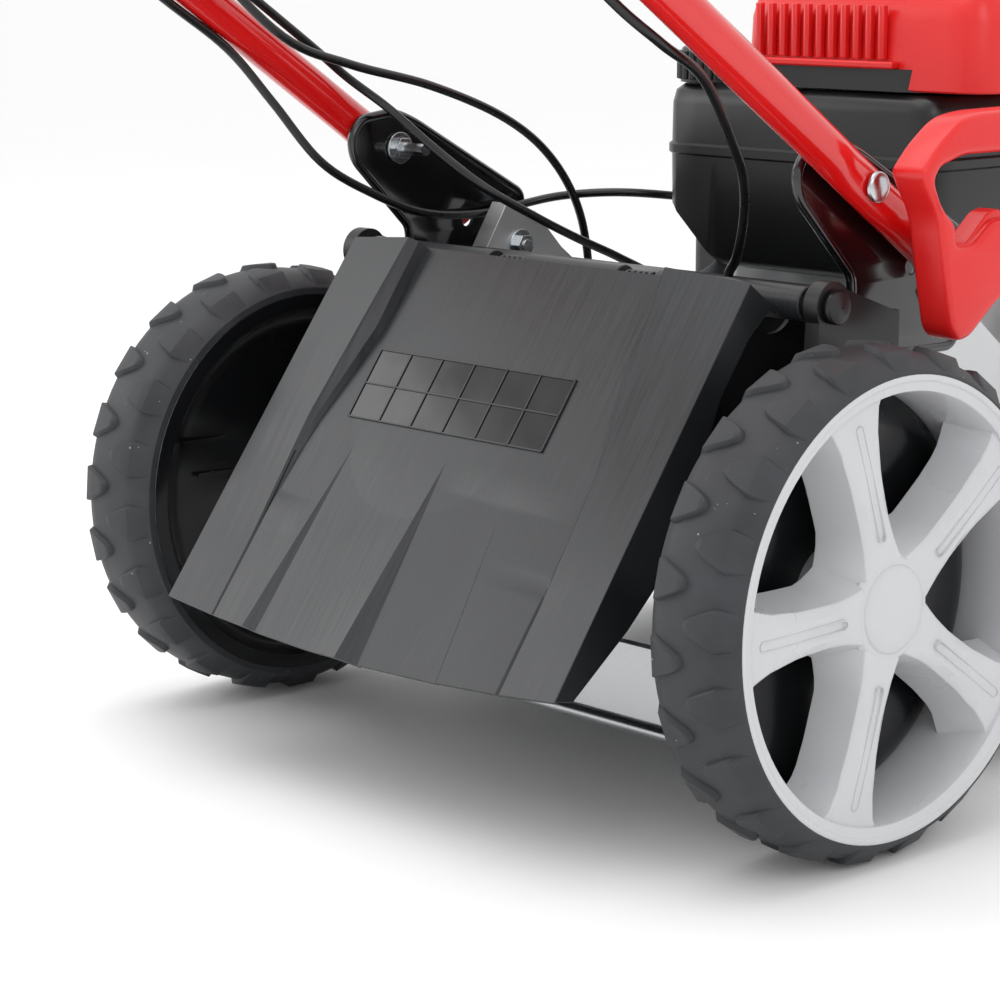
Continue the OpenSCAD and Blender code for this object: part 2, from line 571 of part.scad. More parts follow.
// ---------- handle ----------
module lower_tube() difference() {
  translate([tube_x, 0, tube_foot]) cylinder(h = fold_at + 20 - tube_foot, r = tube_r);
  translate([tube_x, 0, tube_foot - 1]) cylinder(h = fold_at + 22 - tube_foot, r = tube_r - tube_wall);
  bar_x(170, 230, 4.1);
  bar_x(170, 230, 4.1, 0, fold_at);
}
module lower_tube_left() color("red") handle_frame() mirror([1, 0, 0]) lower_tube();
module lower_tube_right() color("red") handle_frame() lower_tube();
// Half of the folding handle: a leg, a quarter bend and half of the cross bar
module half_handle(r) {
  translate([upper_x, 0, fold_at - 30]) cylinder(h = bar_at - bend_r - fold_at + 30, r = r);
  translate([upper_x - bend_r, 0, bar_at - bend_r]) rotate([90, 0, 0])
    rotate_extrude(angle = 90) translate([bend_r, 0]) circle(r, $fn = 48);
  bar_x(0, upper_x - bend_r, r, 0, bar_at);
}
module upper_handle() color("red") handle_frame() difference() {
  union() {
    both_sides() half_handle(upper_r);
    translate([upper_x - 12, 0, throttle_at - 11]) cube([3, upper_r + 18, 22]);
  }
  difference() {
    both_sides() half_handle(upper_r - tube_wall);
    both_sides() box([upper_x - 20, -20, fold_at - 31], [upper_x + 20, 20, fold_at - 28]);
  }
  bar_x(-250, 250, 4 + run, 0, fold_at);
  bar_x(-upper_x, upper_x, 3.5 + run, 0, stop_at);
  bar_x(-upper_x, upper_x, 3.5 + run, 0, drive_at);
  bar_x(upper_x - 16, upper_x - 8, 3 + run, upper_r + 10, throttle_at);
}
module handle_grip() color("#26282b") handle_frame() difference() {
  bar_x(-150, 150, 15, 0, bar_at);
  bar_x(-151, 151, upper_r, 0, bar_at);
}
// Fold bolt with its cam lever, outside the upper leg
module clamp_lever() color("black") handle_frame() union() {
  bar_x(tube_x - tube_r - 6, upper_x + upper_r + 10, 4 - run, 0, fold_at);
  bar_x(upper_x + upper_r + 1, upper_x + upper_r + 13, 11, 0, fold_at);
  translate([upper_x + upper_r + 3, -6, fold_at]) cube([8, 12, 62]);
  bar_x(tube_x - tube_r - 8, tube_x - tube_r - 1, 9, 0, fold_at);
}
module clamp_lever_left() mirror([1, 0, 0]) clamp_lever();
module clamp_lever_right() clamp_lever();
// Bent-wire bail: pins in the legs, two side wires and a cross wire beside the grip
module bail(at, reach, tilt, half) handle_frame() translate([0, 0, at]) rotate([tilt, 0, 0]) union() {
  both_sides() bar_x(half - 3.4, upper_x - 4, 3.5);
  both_sides() translate([half, 0, 0]) sphere(bail_r, $fn = 32);
  both_sides() translate([half, 0, 0]) cylinder(h = reach, r = bail_r);
  both_sides() translate([half, 0, reach]) sphere(bail_r, $fn = 32);
  bar_x(-half, half, bail_r, 0, reach);
}
module stop_bail() color("red") bail(stop_at, bar_at - stop_at + 4, -34, 208);
module drive_bail() color("black") bail(drive_at, bar_at - drive_at + 2, 30, 198.5);
module throttle() color("black") handle_frame() translate([upper_x, upper_r + 10, throttle_at]) union() {
  bar_x(-8, 8, 8);
  bar_x(-14, -7, 3);
  translate([-3, 0, -3]) cube([6, 34, 6]);
  translate([-6, 30, -5]) cube([12, 12, 10]);
}
module cables() color("#1b1c1e") union() {
  sweep(stop_route, cable_r, 10);
  sweep(drive_route, cable_r, 10);
  sweep(brake_route, cable_r, 10);
  sweep(throttle_route, cable_r, 10);
}

in_frame() deck();
in_frame() rear_skirt();
in_frame() discharge_chute();
in_frame() flap();
in_frame() flap_hinge_rod();
in_frame() flap_spring();
in_frame() handle_bracket_left();
in_frame() handle_bracket_right();
in_frame() handle_bolts();
in_frame() rear_axle();
in_frame() front_axle();
in_frame() height_link();
in_frame() height_handle();
in_frame() height_trigger();
in_frame() tyre_rear_left();
in_frame() tyre_rear_right();
in_frame() tyre_front_left();
in_frame() tyre_front_right();
in_frame() rim_rear_left();
in_frame() rim_rear_right();
in_frame() rim_front_left();
in_frame() rim_front_right();
in_frame() wheel_disc_left();
in_frame() wheel_disc_right();
in_frame() hub_cap_left();
in_frame() hub_cap_right();
in_frame() wheel_bushes_rear();
in_frame() wheel_bushes_front();
in_frame() crankcase();
in_frame() cylinder_block();  // cylinder
in_frame() spark_plug();
in_frame() carburettor();
in_frame() air_filter();
in_frame() muffler();
in_frame() crankshaft();
in_frame() flywheel();
in_frame() blower_housing();
in_frame() engine_cover();
in_frame() fuel_tank();
in_frame() fuel_cap();
in_frame() fuel_hose();
in_frame() oil_cap();
in_frame() starter_grip();
in_frame() starter_rope();
in_frame() blade_adapter();
in_frame() blade();
in_frame() blade_bolt();
in_frame() gearbox();
in_frame() gearbox_pulley();
in_frame() drive_belt();
in_frame() lower_tube_left();
in_frame() lower_tube_right();
in_frame() upper_handle();
in_frame() handle_grip();
in_frame() clamp_lever_left();
in_frame() clamp_lever_right();
in_frame() stop_bail();
in_frame() drive_bail();
in_frame() throttle();
in_frame() cables();
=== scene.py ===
import json
import math
import bmesh
import bpy
from mathutils import Matrix, Vector

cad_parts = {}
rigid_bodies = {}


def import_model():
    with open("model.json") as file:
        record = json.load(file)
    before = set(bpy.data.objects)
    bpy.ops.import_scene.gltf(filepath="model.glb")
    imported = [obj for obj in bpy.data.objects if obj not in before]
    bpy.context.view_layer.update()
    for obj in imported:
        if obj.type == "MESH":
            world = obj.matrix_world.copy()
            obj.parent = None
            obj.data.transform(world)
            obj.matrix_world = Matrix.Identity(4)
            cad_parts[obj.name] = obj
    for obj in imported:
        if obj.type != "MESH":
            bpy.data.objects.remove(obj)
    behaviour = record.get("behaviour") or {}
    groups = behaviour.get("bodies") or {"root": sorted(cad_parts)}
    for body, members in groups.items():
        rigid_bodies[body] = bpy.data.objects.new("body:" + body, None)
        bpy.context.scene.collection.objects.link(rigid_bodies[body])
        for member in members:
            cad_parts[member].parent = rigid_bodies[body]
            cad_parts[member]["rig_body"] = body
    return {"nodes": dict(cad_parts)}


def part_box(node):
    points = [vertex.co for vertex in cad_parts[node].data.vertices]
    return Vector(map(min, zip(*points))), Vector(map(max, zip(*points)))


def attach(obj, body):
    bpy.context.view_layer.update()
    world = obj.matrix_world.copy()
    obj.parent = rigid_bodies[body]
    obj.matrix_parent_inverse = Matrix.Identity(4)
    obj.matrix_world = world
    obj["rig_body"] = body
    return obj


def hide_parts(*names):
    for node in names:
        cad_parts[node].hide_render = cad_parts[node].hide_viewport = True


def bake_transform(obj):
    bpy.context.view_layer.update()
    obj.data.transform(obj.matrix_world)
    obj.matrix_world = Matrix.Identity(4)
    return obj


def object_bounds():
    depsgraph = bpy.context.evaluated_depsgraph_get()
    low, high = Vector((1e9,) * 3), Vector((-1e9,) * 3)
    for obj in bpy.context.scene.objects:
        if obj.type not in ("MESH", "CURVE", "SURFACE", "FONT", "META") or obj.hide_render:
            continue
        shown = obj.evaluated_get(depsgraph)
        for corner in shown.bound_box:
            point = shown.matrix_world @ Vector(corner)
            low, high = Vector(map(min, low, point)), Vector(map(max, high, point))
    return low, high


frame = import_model()
cad_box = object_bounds()

# ---------- deck ----------
# The deck is one die casting in aluminium alloy: a round cutting chamber, a square rear with two
# pillars for the handle brackets, and a nose box over the front axle. It is sand-blasted and left bare.


def colour(code):
    """The linear RGBA of an sRGB hex colour."""
    parts = [int(code[i:i + 2], 16) / 255 for i in (1, 3, 5)]
    return [p / 12.92 if p <= 0.04045 else ((p + 0.055) / 1.055) ** 2.4 for p in parts] + [1]


def add_node(tree, kind, inputs=None, **settings):
    """Adds one node; an input is a plain value or another node's output socket."""
    node = tree.nodes.new(kind)
    for key, value in settings.items():
        setattr(node, key, value)
    for key, value in (inputs or {}).items():
        if isinstance(value, bpy.types.NodeSocket):
            tree.links.new(value, node.inputs[key])
        else:
            node.inputs[key].default_value = value
    return node


def finish_material(name, base, rough, metallic=0.0, ior=1.5, coat=0.0, coat_rough=0.1):
    """A shader with its constants set on its own sockets, and the object coordinates that patterns read."""
    material = bpy.data.materials.new(name)
    material.use_nodes = True
    tree = material.node_tree
    shader = tree.nodes["Principled BSDF"]
    shader.inputs["Base Color"].default_value = colour(base)
    shader.inputs["Roughness"].default_value = rough
    shader.inputs["Metallic"].default_value = metallic
    shader.inputs["IOR"].default_value = ior
    shader.inputs["Coat Weight"].default_value = coat
    shader.inputs["Coat Roughness"].default_value = coat_rough
    place = add_node(tree, "ShaderNodeTexCoord").outputs["Object"]
    return material, tree, shader, place


def ramp(tree, value, stops):
    """A colour that follows a value through two (place, hex colour) stops."""
    node = add_node(tree, "ShaderNodeValToRGB", {"Fac": value})
    for element, (at, code) in zip(node.color_ramp.elements, stops):
        element.position = at
        element.color = colour(code)
    return node.outputs["Color"]


def grained(name, light, dark, rough, grain_mm, patch_mm, depth_mm, stretch=(1, 1, 1), spread=0.08, **rest):
    """A finish whose fine grain has a real size, with slow patches of tone and of gloss."""
    material, tree, shader, place = finish_material(name, light, rough, **rest)
    place = add_node(tree, "ShaderNodeMapping", {"Vector": place, "Scale": stretch}).outputs["Vector"]
    patches = add_node(tree, "ShaderNodeTexNoise", {"Vector": place, "Scale": 1000 / patch_mm, "Detail": 4.0})
    grain = add_node(tree, "ShaderNodeTexNoise", {"Vector": place, "Scale": 1000 / grain_mm, "Detail": 3.0})
    tone = add_node(tree, "ShaderNodeMix", {"Factor": patches.outputs["Fac"], "A": colour(dark),
                    "B": colour(light)}, data_type="RGBA")
    gloss = add_node(tree, "ShaderNodeMapRange", {"Value": patches.outputs["Fac"], "From Min": 0.3,
                     "From Max": 0.7, "To Min": rough - spread, "To Max": rough + spread})
    relief = add_node(tree, "ShaderNodeBump", {"Height": grain.outputs["Fac"], "Strength": 0.6,
                      "Distance": depth_mm / 1000})
    tree.links.new(tone.outputs[2], shader.inputs["Base Color"])
    tree.links.new(gloss.outputs["Result"], shader.inputs["Roughness"])
    tree.links.new(relief.outputs["Normal"], shader.inputs["Normal"])
    return material


def shade(mesh, limit=32):
    """Smooth shading, kept sharp over edges steeper than the limit in degrees."""
    mesh.shade_smooth()
    mesh.set_sharp_from_angle(angle=math.radians(limit))


def plain_mesh(piece):
    """Turns the evaluated piece into a plain mesh without modifiers."""
    bpy.context.view_layer.update()
    mesh = bpy.data.meshes.new_from_object(piece.evaluated_get(bpy.context.evaluated_depsgraph_get()))
    piece.modifiers.clear()
    piece.data = mesh
    mesh.name = piece.name
    return piece


def soften(piece, radius_mm, segments=2, angle=34):
    """Rounds the sharp edges over and keeps flat faces flat in their shading."""
    bevel = piece.modifiers.new("edge_radius", "BEVEL")
    bevel.width = radius_mm / 1000
    bevel.segments = segments
    bevel.limit_method = "ANGLE"
    bevel.angle_limit = math.radians(angle)
    bevel.use_clamp_overlap = True
    piece.modifiers.new("flat_faces", "WEIGHTED_NORMAL").keep_sharp = True
    return plain_mesh(piece)


def new_piece(name, points, faces, material, limit=32):
    """A mesh object in the row frame, its doubles merged and its faces turned outwards."""
    mesh = bpy.data.meshes.new(name)
    mesh.from_pydata([tuple(p) for p in points], [], faces)
    work = bmesh.new()
    work.from_mesh(mesh)
    bmesh.ops.remove_doubles(work, verts=work.verts, dist=1e-6)
    bmesh.ops.recalc_face_normals(work, faces=work.faces)
    work.to_mesh(mesh)
    work.free()
    mesh.materials.append(material)
    shade(mesh, limit)
    piece = bpy.data.objects.new(name, mesh)
    bpy.context.scene.collection.objects.link(piece)
    return piece


def mount(piece, body, slot_name, *nodes):
    """The piece moves with its body and stands for CAD nodes; its slot name is not used."""
    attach(piece, body)
    if nodes:
        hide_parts(*nodes)
    return piece


def finished_copy(node, material, slot_name, radius_mm=0.8, segments=2):
    """A copy of a CAD node, its loose triangles joined and its edges rounded, that stands for it."""
    source = frame["nodes"][node]
    mesh = source.data.copy()
    work = bmesh.new()
    work.from_mesh(mesh)
    bmesh.ops.remove_doubles(work, verts=work.verts, dist=2e-6)
    bmesh.ops.dissolve_limit(work, angle_limit=math.radians(0.5), verts=work.verts, edges=work.edges)
    work.to_mesh(mesh)
    work.free()
    mesh.materials.clear()
    mesh.materials.append(material)
    piece = bpy.data.objects.new(node + "_finished", mesh)
    bpy.context.scene.collection.objects.link(piece)
    shade(mesh)
    if radius_mm:
        soften(piece, radius_mm, segments)
    return mount(piece, source["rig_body"], slot_name, node)


def keep_node(node, material):
    """A CAD node whose shape is right as it is keeps its mesh and gets the real finish."""
    piece = frame["nodes"][node]
    piece.data.materials.clear()
    piece.data.materials.append(material)


# Blasted cast aluminium: pale, even grey with a soft broken shine and a fine sandy grain
cast_aluminium = grained("cast_aluminium_blasted", "#dedfe0", "#c9cbcc", 0.55, 0.9, 40, 0.12, metallic=1.0)
finished_copy("deck", cast_aluminium, "aluminium_casting", 1.5)

# ---------- rear skirt ----------
# The skirt across the discharge opening is a strip of galvanised sheet with its lower edge rolled
# over into a lip, riveted inside the deck's rear wall.

# Galvanised sheet: smooth grey metal with faint streaks that run along the strip
galvanised = grained("galvanised_sheet", "#c4c6c8", "#a9abad", 0.3, 1.5, 30, 0.02, stretch=(0.15, 1, 1),
                     metallic=1.0)
finished_copy("rear_skirt", galvanised, "galvanised_sheet", 0.5)

# ---------- discharge chute ----------
# The chute is injection-moulded polypropylene, screwed down over the deck's opening; its two cheeks
# carry the flap's hinge rod.

# Moulded polypropylene: near-black, with a leathery satin grain that spreads the highlights
moulded_black = grained("moulded_polypropylene_black", "#17181a", "#101113", 0.4, 1.2, 60, 0.08)
finished_copy("discharge_chute", moulded_black, "moulded_black", 1.2)

# ---------- discharge flap ----------
# The flap is one injection moulding in dark polypropylene. Its face is folded: two outer panels stand
# proud beside a sunk middle panel, pleats open towards the lower edge, and the side walls point forward.

flap_lean = math.radians(35.8)
rod_low, rod_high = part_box("flap_hinge_rod")
hinge = Vector((0, (rod_low.y + rod_high.y) / 2, (rod_low.z + rod_high.z) / 2))
flap_top, flap_face = 0.008, 0.0295


def on_flap(x, down, proud):
    """A point of the flap, all in metres: x across, down from its top edge, and proud of its face."""
    along, out = flap_top + down, flap_face + proud
    return hinge + Vector((x, -out * math.cos(flap_lean) - along * math.sin(flap_lean),
                           out * math.sin(flap_lean) - along * math.cos(flap_lean)))


def between(value, stops):
    """Straight-line interpolation through (place, value) stops."""
    if value <= stops[0][0]:
        return stops[0][1]
    for (a, va), (b, vb) in zip(stops, stops[1:]):
        if value <= b:
            return va + (vb - va) * (value - a) / (b - a)
    return stops[-1][1]


def flap_section(down):
    """The face's folds at one height, as (x, proud) in millimetres from left to right."""
    ridge = between(down, [(0, 10.2), (205, 0)])
    pleat = between(down, [(135, 0), (265, 1)])
    edge = between(down, [(0, 166), (256, 168)])
    crest = between(down, [(0, 107), (124, 123), (205, 124)])
    foot = crest - between(down, [(0, 6), (60, 12), (150, 1.5), (205, 1)])
    flank = 3.2
    left = [(-edge, flank), (-crest - 1.5, ridge + 0.9), (-crest, ridge),
            (-foot - 1.5, 0.7 * ridge * (1 - pleat)), (-foot, 1.2 * pleat)]
    pleats = [(-78 - 17 * pleat, 1.6 * pleat), (-78 - 6 * pleat, -0.9 * pleat), (-38, -0.6 * pleat),
              (3 - 11 * pleat, 1.8 * pleat), (3 + 6.5 * pleat, -3.2 * pleat), (3 + 9.5 * pleat, 0.2 * pleat),
              (3.5 + 12 * pleat, 0), (60 + 17 * pleat, 0), (60.6 + 18.5 * pleat, 1.2 * pleat)]
    right = [(foot, 1.2 * pleat), (crest, ridge), (crest + 1.5, ridge + 0.9), (edge, flank)]
    return left + pleats + right


def flap_face_mesh():
    """The folded face with its thickness, its side walls and its bowed lower edge."""
    rows, wall = 54, 3.0
    points, faces, sheet = [], [], []
    for i in range(rows + 1):
        share = i / rows
        section = flap_section(256 * share)
        for x, proud in section:
            bow = 8.5 * share ** 6 * math.cos(math.pi / 2 * x / 168) if share > 0.5 else 0
            down = 256 * share + bow
            points.append(on_flap(x / 1000, down / 1000, proud / 1000))
            sheet.append((x / 1000, down / 1000))
    columns = len(points) // (rows + 1)
    front = len(points)
    for i in range(rows + 1):
        for j in range(columns):
            x, down = sheet[i * columns + j]
            proud = flap_section(256 * i / rows)[j][1] - wall
            points.append(on_flap(x * (1 - 0.012 * (j in (0, columns - 1))), down, proud / 1000))
            sheet.append((x, down))
    for i in range(rows):
        for j in range(columns - 1):
            a = i * columns + j
            faces += [(a, a + 1, a + columns + 1, a + columns),
                      (front + a + columns, front + a + columns + 1, front + a + 1, front + a)]
    for i in range(rows):
        for j in (0, columns - 1):
            a = i * columns + j
            quad = (a, a + columns, front + a + columns, front + a)
            faces.append(quad if j == 0 else quad[::-1])
    for j in range(columns - 1):
        for i in (0, rows):
            a = i * columns + j
            quad = (a, a + 1, front + a + 1, front + a)
            faces.append(quad[::-1] if i == 0 else quad)
    return points, faces


def sheet_coordinates(piece, flat):
    """Lays the piece's own UV map out in metres across and down the sheet."""
    layer = piece.data.uv_layers.new(name="sheet")
    for loop in piece.data.loops:
        layer.data[loop.index].uv = flat(piece.data.vertices[loop.vertex_index].co)


def flap_flat(point):
    """A row-frame point as (across, down) on the flap's face."""
    arm = point - hinge
    return arm.x, -arm.y * math.sin(flap_lean) - arm.z * math.cos(flap_lean) - flap_top


# Flap polypropylene: dark warm grey with drawn-out grain down the panel and a broad soft sheen;
# one large disc, where the mould's polish differs, shines a little more
flap_plastic, tree, shader, place = finish_material("flap_polypropylene_grained", "#26282a", 0.36)
sheet_place = add_node(tree, "ShaderNodeUVMap", uv_map="sheet").outputs["UV"]
drawn = add_node(tree, "ShaderNodeMapping", {"Vector": sheet_place, "Scale": (1, 0.04, 1)}).outputs["Vector"]
streaks = add_node(tree, "ShaderNodeTexNoise", {"Vector": drawn, "Scale": 1000 / 2.2, "Detail": 4.0})
clouds = add_node(tree, "ShaderNodeTexNoise", {"Vector": place, "Scale": 1000 / 70, "Detail": 2.0})
grit = add_node(tree, "ShaderNodeTexNoise", {"Vector": place, "Scale": 1000 / 0.8, "Detail": 1.0})
disc_place = add_node(tree, "ShaderNodeMapping", {"Vector": sheet_place, "Location": (0.018, -0.103, 0)})
disc_far = add_node(tree, "ShaderNodeVectorMath", {0: disc_place.outputs["Vector"]}, operation="LENGTH")
disc = add_node(tree, "ShaderNodeMapRange", {"Value": disc_far.outputs["Value"], "From Min": 0.0725,
                "From Max": 0.0705, "To Min": 0.0, "To Max": 0.035})
tone = add_node(tree, "ShaderNodeMapRange", {"Value": streaks.outputs["Fac"], "From Min": 0.3,
                "From Max": 0.7, "To Min": 0.31, "To Max": 0.41})
cloudy = add_node(tree, "ShaderNodeMath", {0: clouds.outputs["Fac"], 1: 0.08, 2: -0.04},
                  operation="MULTIPLY_ADD")
rough = add_node(tree, "ShaderNodeMath", {0: tone.outputs["Result"], 1: cloudy.outputs["Value"]},
                 operation="ADD")
rough = add_node(tree, "ShaderNodeMath", {0: rough.outputs["Value"], 1: disc.outputs["Result"]},
                 operation="SUBTRACT")
shades = ramp(tree, streaks.outputs["Fac"], [(0.3, "#1e2022"), (0.7, "#2b2d30")])
relief = add_node(tree, "ShaderNodeBump", {"Height": grit.outputs["Fac"], "Strength": 0.5,
                  "Distance": 0.00006})
tree.links.new(shades, shader.inputs["Base Color"])
tree.links.new(rough.outputs["Value"], shader.inputs["Roughness"])
tree.links.new(relief.outputs["Normal"], shader.inputs["Normal"])

flap = new_piece("flap_face", *flap_face_mesh(), flap_plastic, limit=12)
sheet_coordinates(flap, flap_flat)
mount(flap, "flap_body", "flap_plastic", "flap")

# The side walls, top flange and hinge barrels are the same moulding; their outline tapers from the
# hinge, is deepest half way down, and ends narrow at the lower corners.
wall_outline = [(0, 3), (256, 3.4), (250, 13), (200, 28), (152, 37), (102, 26), (62, 17.5), (25, 18), (0, 24)]
for side, hand in ((-1, "left"), (1, "right")):
    outline = []
    for down, deep in wall_outline:
        half = between(down, [(0, 166), (256, 168)])
        outline.append((side * half / 1000, down / 1000, (3.2 - deep if deep > 4 else 3.0) / 1000))
    outer = [on_flap(*p) for p in outline]
    inner = [on_flap(x - side * 0.003, down, proud) for x, down, proud in outline]
    count = len(outer)
    walls = [tuple(range(count)), tuple(range(2 * count - 1, count - 1, -1))]
    walls += [(k, (k + 1) % count, count + (k + 1) % count, count + k) for k in range(count)]
    wall = soften(new_piece("flap_side_wall_" + hand, outer + inner, walls, flap_plastic), 0.6)
    sheet_coordinates(wall, flap_flat)
    mount(wall, "flap_body", "flap_plastic")


def bar_between(a, b, radius, sides=24, caps=True):
    """Points and faces of a round bar between two points."""
    a, b = Vector(a), Vector(b)
    turn = (b - a).to_track_quat("Z", "Y").to_matrix()
    points, faces = [], []
    for end in (a, b):
        points += [end + turn @ Vector((radius * math.cos(math.tau * k / sides),
                                        radius * math.sin(math.tau * k / sides), 0)) for k in range(sides)]
    faces += [(k, (k + 1) % sides, sides + (k + 1) % sides, sides + k) for k in range(sides)]
    if caps:
        faces += [tuple(range(sides - 1, -1, -1)), tuple(range(sides, 2 * sides))]
    return points, faces


def merged(parts):
    """Several (points, faces) lists as one."""
    points, faces = [], []
    for more_points, more_faces in parts:
        start = len(points)
        points += list(more_points)
        faces += [tuple(start + k for k in face) for face in more_faces]
    return points, faces


def slab(corners, depth):
    """A closed slab from an outline of points, thickened by a vector."""
    corners, depth = [Vector(c) for c in corners], Vector(depth)
    count = len(corners)
    faces = [tuple(range(count)), tuple(range(2 * count - 1, count - 1, -1))]
    faces += [(k, (k + 1) % count, count + (k + 1) % count, count + k) for k in range(count)]
    return corners + [c + depth for c in corners], faces


barrels = [bar_between(hinge + Vector((a, 0, 0)), hinge + Vector((b, 0, 0)), 0.0098)
           for a, b in ((-0.182, -0.07), (-0.04, 0.04), (0.07, 0.182))]
flange = slab([on_flap(x, 0, -0.0012) for x in (-0.166, 0.166)] + [on_flap(0.166, 0, -0.026),
              on_flap(-0.166, 0, -0.026)], on_flap(0, 0.003, 0) - on_flap(0, 0, 0))
web = slab([on_flap(-0.166, 0.002, -0.0255), on_flap(0.166, 0.002, -0.0255), on_flap(0.166, -0.011, -0.0255),
            on_flap(-0.166, -0.011, -0.0255)], on_flap(0, 0, -0.0038) - on_flap(0, 0, 0))
hinge_side = soften(new_piece("flap_hinge_edge", *merged(barrels + [flange, web]), flap_plastic), 0.8)
sheet_coordinates(hinge_side, flap_flat)
mount(hinge_side, "flap_body", "flap_plastic")

# A polished rectangle in the mould leaves a glossy panel divided by raised lines into six by two
# plain cells. The lines are Geometry Nodes instances of one short bar.


def geometry_tree(name, inputs):
    """An empty Geometry Nodes tree with its named inputs."""
    tree = bpy.data.node_groups.new(name, "GeometryNodeTree")
    tree.interface.new_socket("Geometry", in_out="INPUT", socket_type="NodeSocketGeometry")
    tree.interface.new_socket("Geometry", in_out="OUTPUT", socket_type="NodeSocketGeometry")
    for label, kind in inputs.items():
        tree.interface.new_socket(label, in_out="INPUT", socket_type="NodeSocket" + kind)
    return tree, add_node(tree, "NodeGroupInput").outputs, add_node(tree, "NodeGroupOutput")


def finish_tree(tree, given, result, parts):
    """Makes the parts' instances real, gives them the finish, and links them to the tree's output."""
    solid = add_node(tree, "GeometryNodeRealizeInstances", {"Geometry": parts})
    coated = add_node(tree, "GeometryNodeSetMaterial", {"Geometry": solid.outputs["Geometry"],
                      "Material": given["Finish"]})
    tree.links.new(coated.outputs["Geometry"], result.inputs["Geometry"])


def grown(piece, tree, values):
    """Runs a Geometry Nodes tree on the piece with its inputs set, and keeps the result as its mesh."""
    modifier = piece.modifiers.new(tree.name, "NODES")
    modifier.node_group = tree
    for item in tree.interface.items_tree:
        if item.in_out == "INPUT" and item.name in values:
            modifier[item.identifier] = values[item.name]
    plain_mesh(piece)
    shade(piece.data)
    return piece


panel_left, panel_top, panel_wide, panel_high = -0.095, 0.072, 0.167, 0.046
columns_across, rows_down = 6, 2
grid_tree, given, result = geometry_tree("panel_lines", {"Across": "Int", "Down": "Int", "Width": "Float",
                                         "Height": "Float", "Line": "Float", "Rise": "Float",
                                         "Finish": "Material"})
lines = []
for count, length, span, flat_turn in (("Across", "Height", "Width", 0.0),
                                       ("Down", "Width", "Height", math.pi / 2)):
    number = add_node(grid_tree, "ShaderNodeMath", {0: given[count], 1: 1.0}, operation="ADD").outputs[0]
    reach = add_node(grid_tree, "ShaderNodeMath", {0: given[length], 1: given["Line"]},
                     operation="ADD").outputs[0]
    far = add_node(grid_tree, "ShaderNodeCombineXYZ", {"X" if count == "Across" else "Y": given[span]})
    row = add_node(grid_tree, "GeometryNodeMeshLine", {"Count": number, "Offset": far.outputs[0]},
                   mode="END_POINTS")
    size = add_node(grid_tree, "ShaderNodeCombineXYZ", {"X": given["Line"], "Y": reach, "Z": given["Rise"]})
    bar = add_node(grid_tree, "GeometryNodeMeshCube", {"Size": size.outputs[0]})
    centre = add_node(grid_tree, "ShaderNodeMath", {0: given[length], 1: 0.5},
                      operation="MULTIPLY").outputs[0]
    centre = add_node(grid_tree, "ShaderNodeCombineXYZ", {"Y" if count == "Across" else "X": centre})
    turned = add_node(grid_tree, "GeometryNodeTransform", {"Geometry": bar.outputs["Mesh"],
                      "Translation": centre.outputs[0], "Rotation": (0.0, 0.0, flat_turn)})
    lines.append(add_node(grid_tree, "GeometryNodeInstanceOnPoints", {"Points": row.outputs["Mesh"],
                          "Instance": turned.outputs["Geometry"]}).outputs["Instances"])
both = add_node(grid_tree, "GeometryNodeJoinGeometry")
for line in lines:
    grid_tree.links.new(line, both.inputs["Geometry"])
finish_tree(grid_tree, given, result, both.outputs["Geometry"])

# Mirror-polished polypropylene: almost black and glossy beside the grained face
polished_panel = grained("flap_polypropylene_polished", "#0c0d0f", "#08090a", 0.12, 3.0, 25, 0.01,
                         spread=0.04)
grid = new_piece("flap_panel_lines", [(0, 0, 0)], [], flap_plastic)
grown(grid, grid_tree, {"Across": columns_across, "Down": rows_down, "Width": panel_wide,
      "Height": panel_high, "Line": 0.0009, "Rise": 0.0009, "Finish": flap_plastic})
panel_origin = on_flap(panel_left, panel_top, 0.0006)
right_way, down_way = on_flap(1, 0, 0) - on_flap(0, 0, 0), on_flap(0, 1, 0) - on_flap(0, 0, 0)
panel_turn = Matrix((right_way, down_way, right_way.cross(down_way))).transposed().to_4x4()
grid.data.transform(Matrix.Translation(panel_origin) @ panel_turn)
sheet_coordinates(grid, flap_flat)
mount(grid, "flap_body", "flap_plastic")
panel = new_piece("flap_panel", *slab([on_flap(panel_left, panel_top, 0.0004),
                  on_flap(panel_left + panel_wide, panel_top, 0.0004),
                  on_flap(panel_left + panel_wide, panel_top + panel_high, 0.0004),
                  on_flap(panel_left, panel_top + panel_high, 0.0004)],
                  on_flap(0, 0, -0.001) - on_flap(0, 0, 0)), polished_panel)
mount(panel, "flap_body", "flap_plastic")

# ---------- wheels ----------
# Each wheel is a moulded silver rim with five faceted spokes, and a tyre moulded in one piece from a
# hard grey compound with open shoulder lugs. The rear rims carry a dished cover behind the spokes.


def wheel_centre(node):
    """The middle of a wheel, and +1 or -1 for the side that its outer face looks to."""
    low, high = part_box(node)
    middle = (low + high) / 2
    return middle, math.copysign(1, middle.x)


def set_wheel(piece, node):
    """Moves a piece made about its own axle, outer face to +X, onto the wheel's place."""
    middle, side = wheel_centre(node)
    turn = Matrix.Identity(4) if side > 0 else Matrix.Rotation(math.pi, 4, "Z")
    piece.data.transform(Matrix.Translation(middle) @ turn)
    return piece


def lathe(profile, steps, closed=True):
    """Points and faces of a (radius, along) profile in millimetres turned about X."""
    points = [(along / 1000, radius / 1000 * math.cos(math.tau * k / steps),
               radius / 1000 * math.sin(math.tau * k / steps))
              for k in range(steps) for radius, along in profile]
    count = len(profile)
    spans = range(count if closed else count - 1)
    faces = [(k * count + j, k * count + (j + 1) % count, (k + 1) % steps * count + (j + 1) % count,
              (k + 1) % steps * count + j) for k in range(steps) for j in spans]
    return points, faces


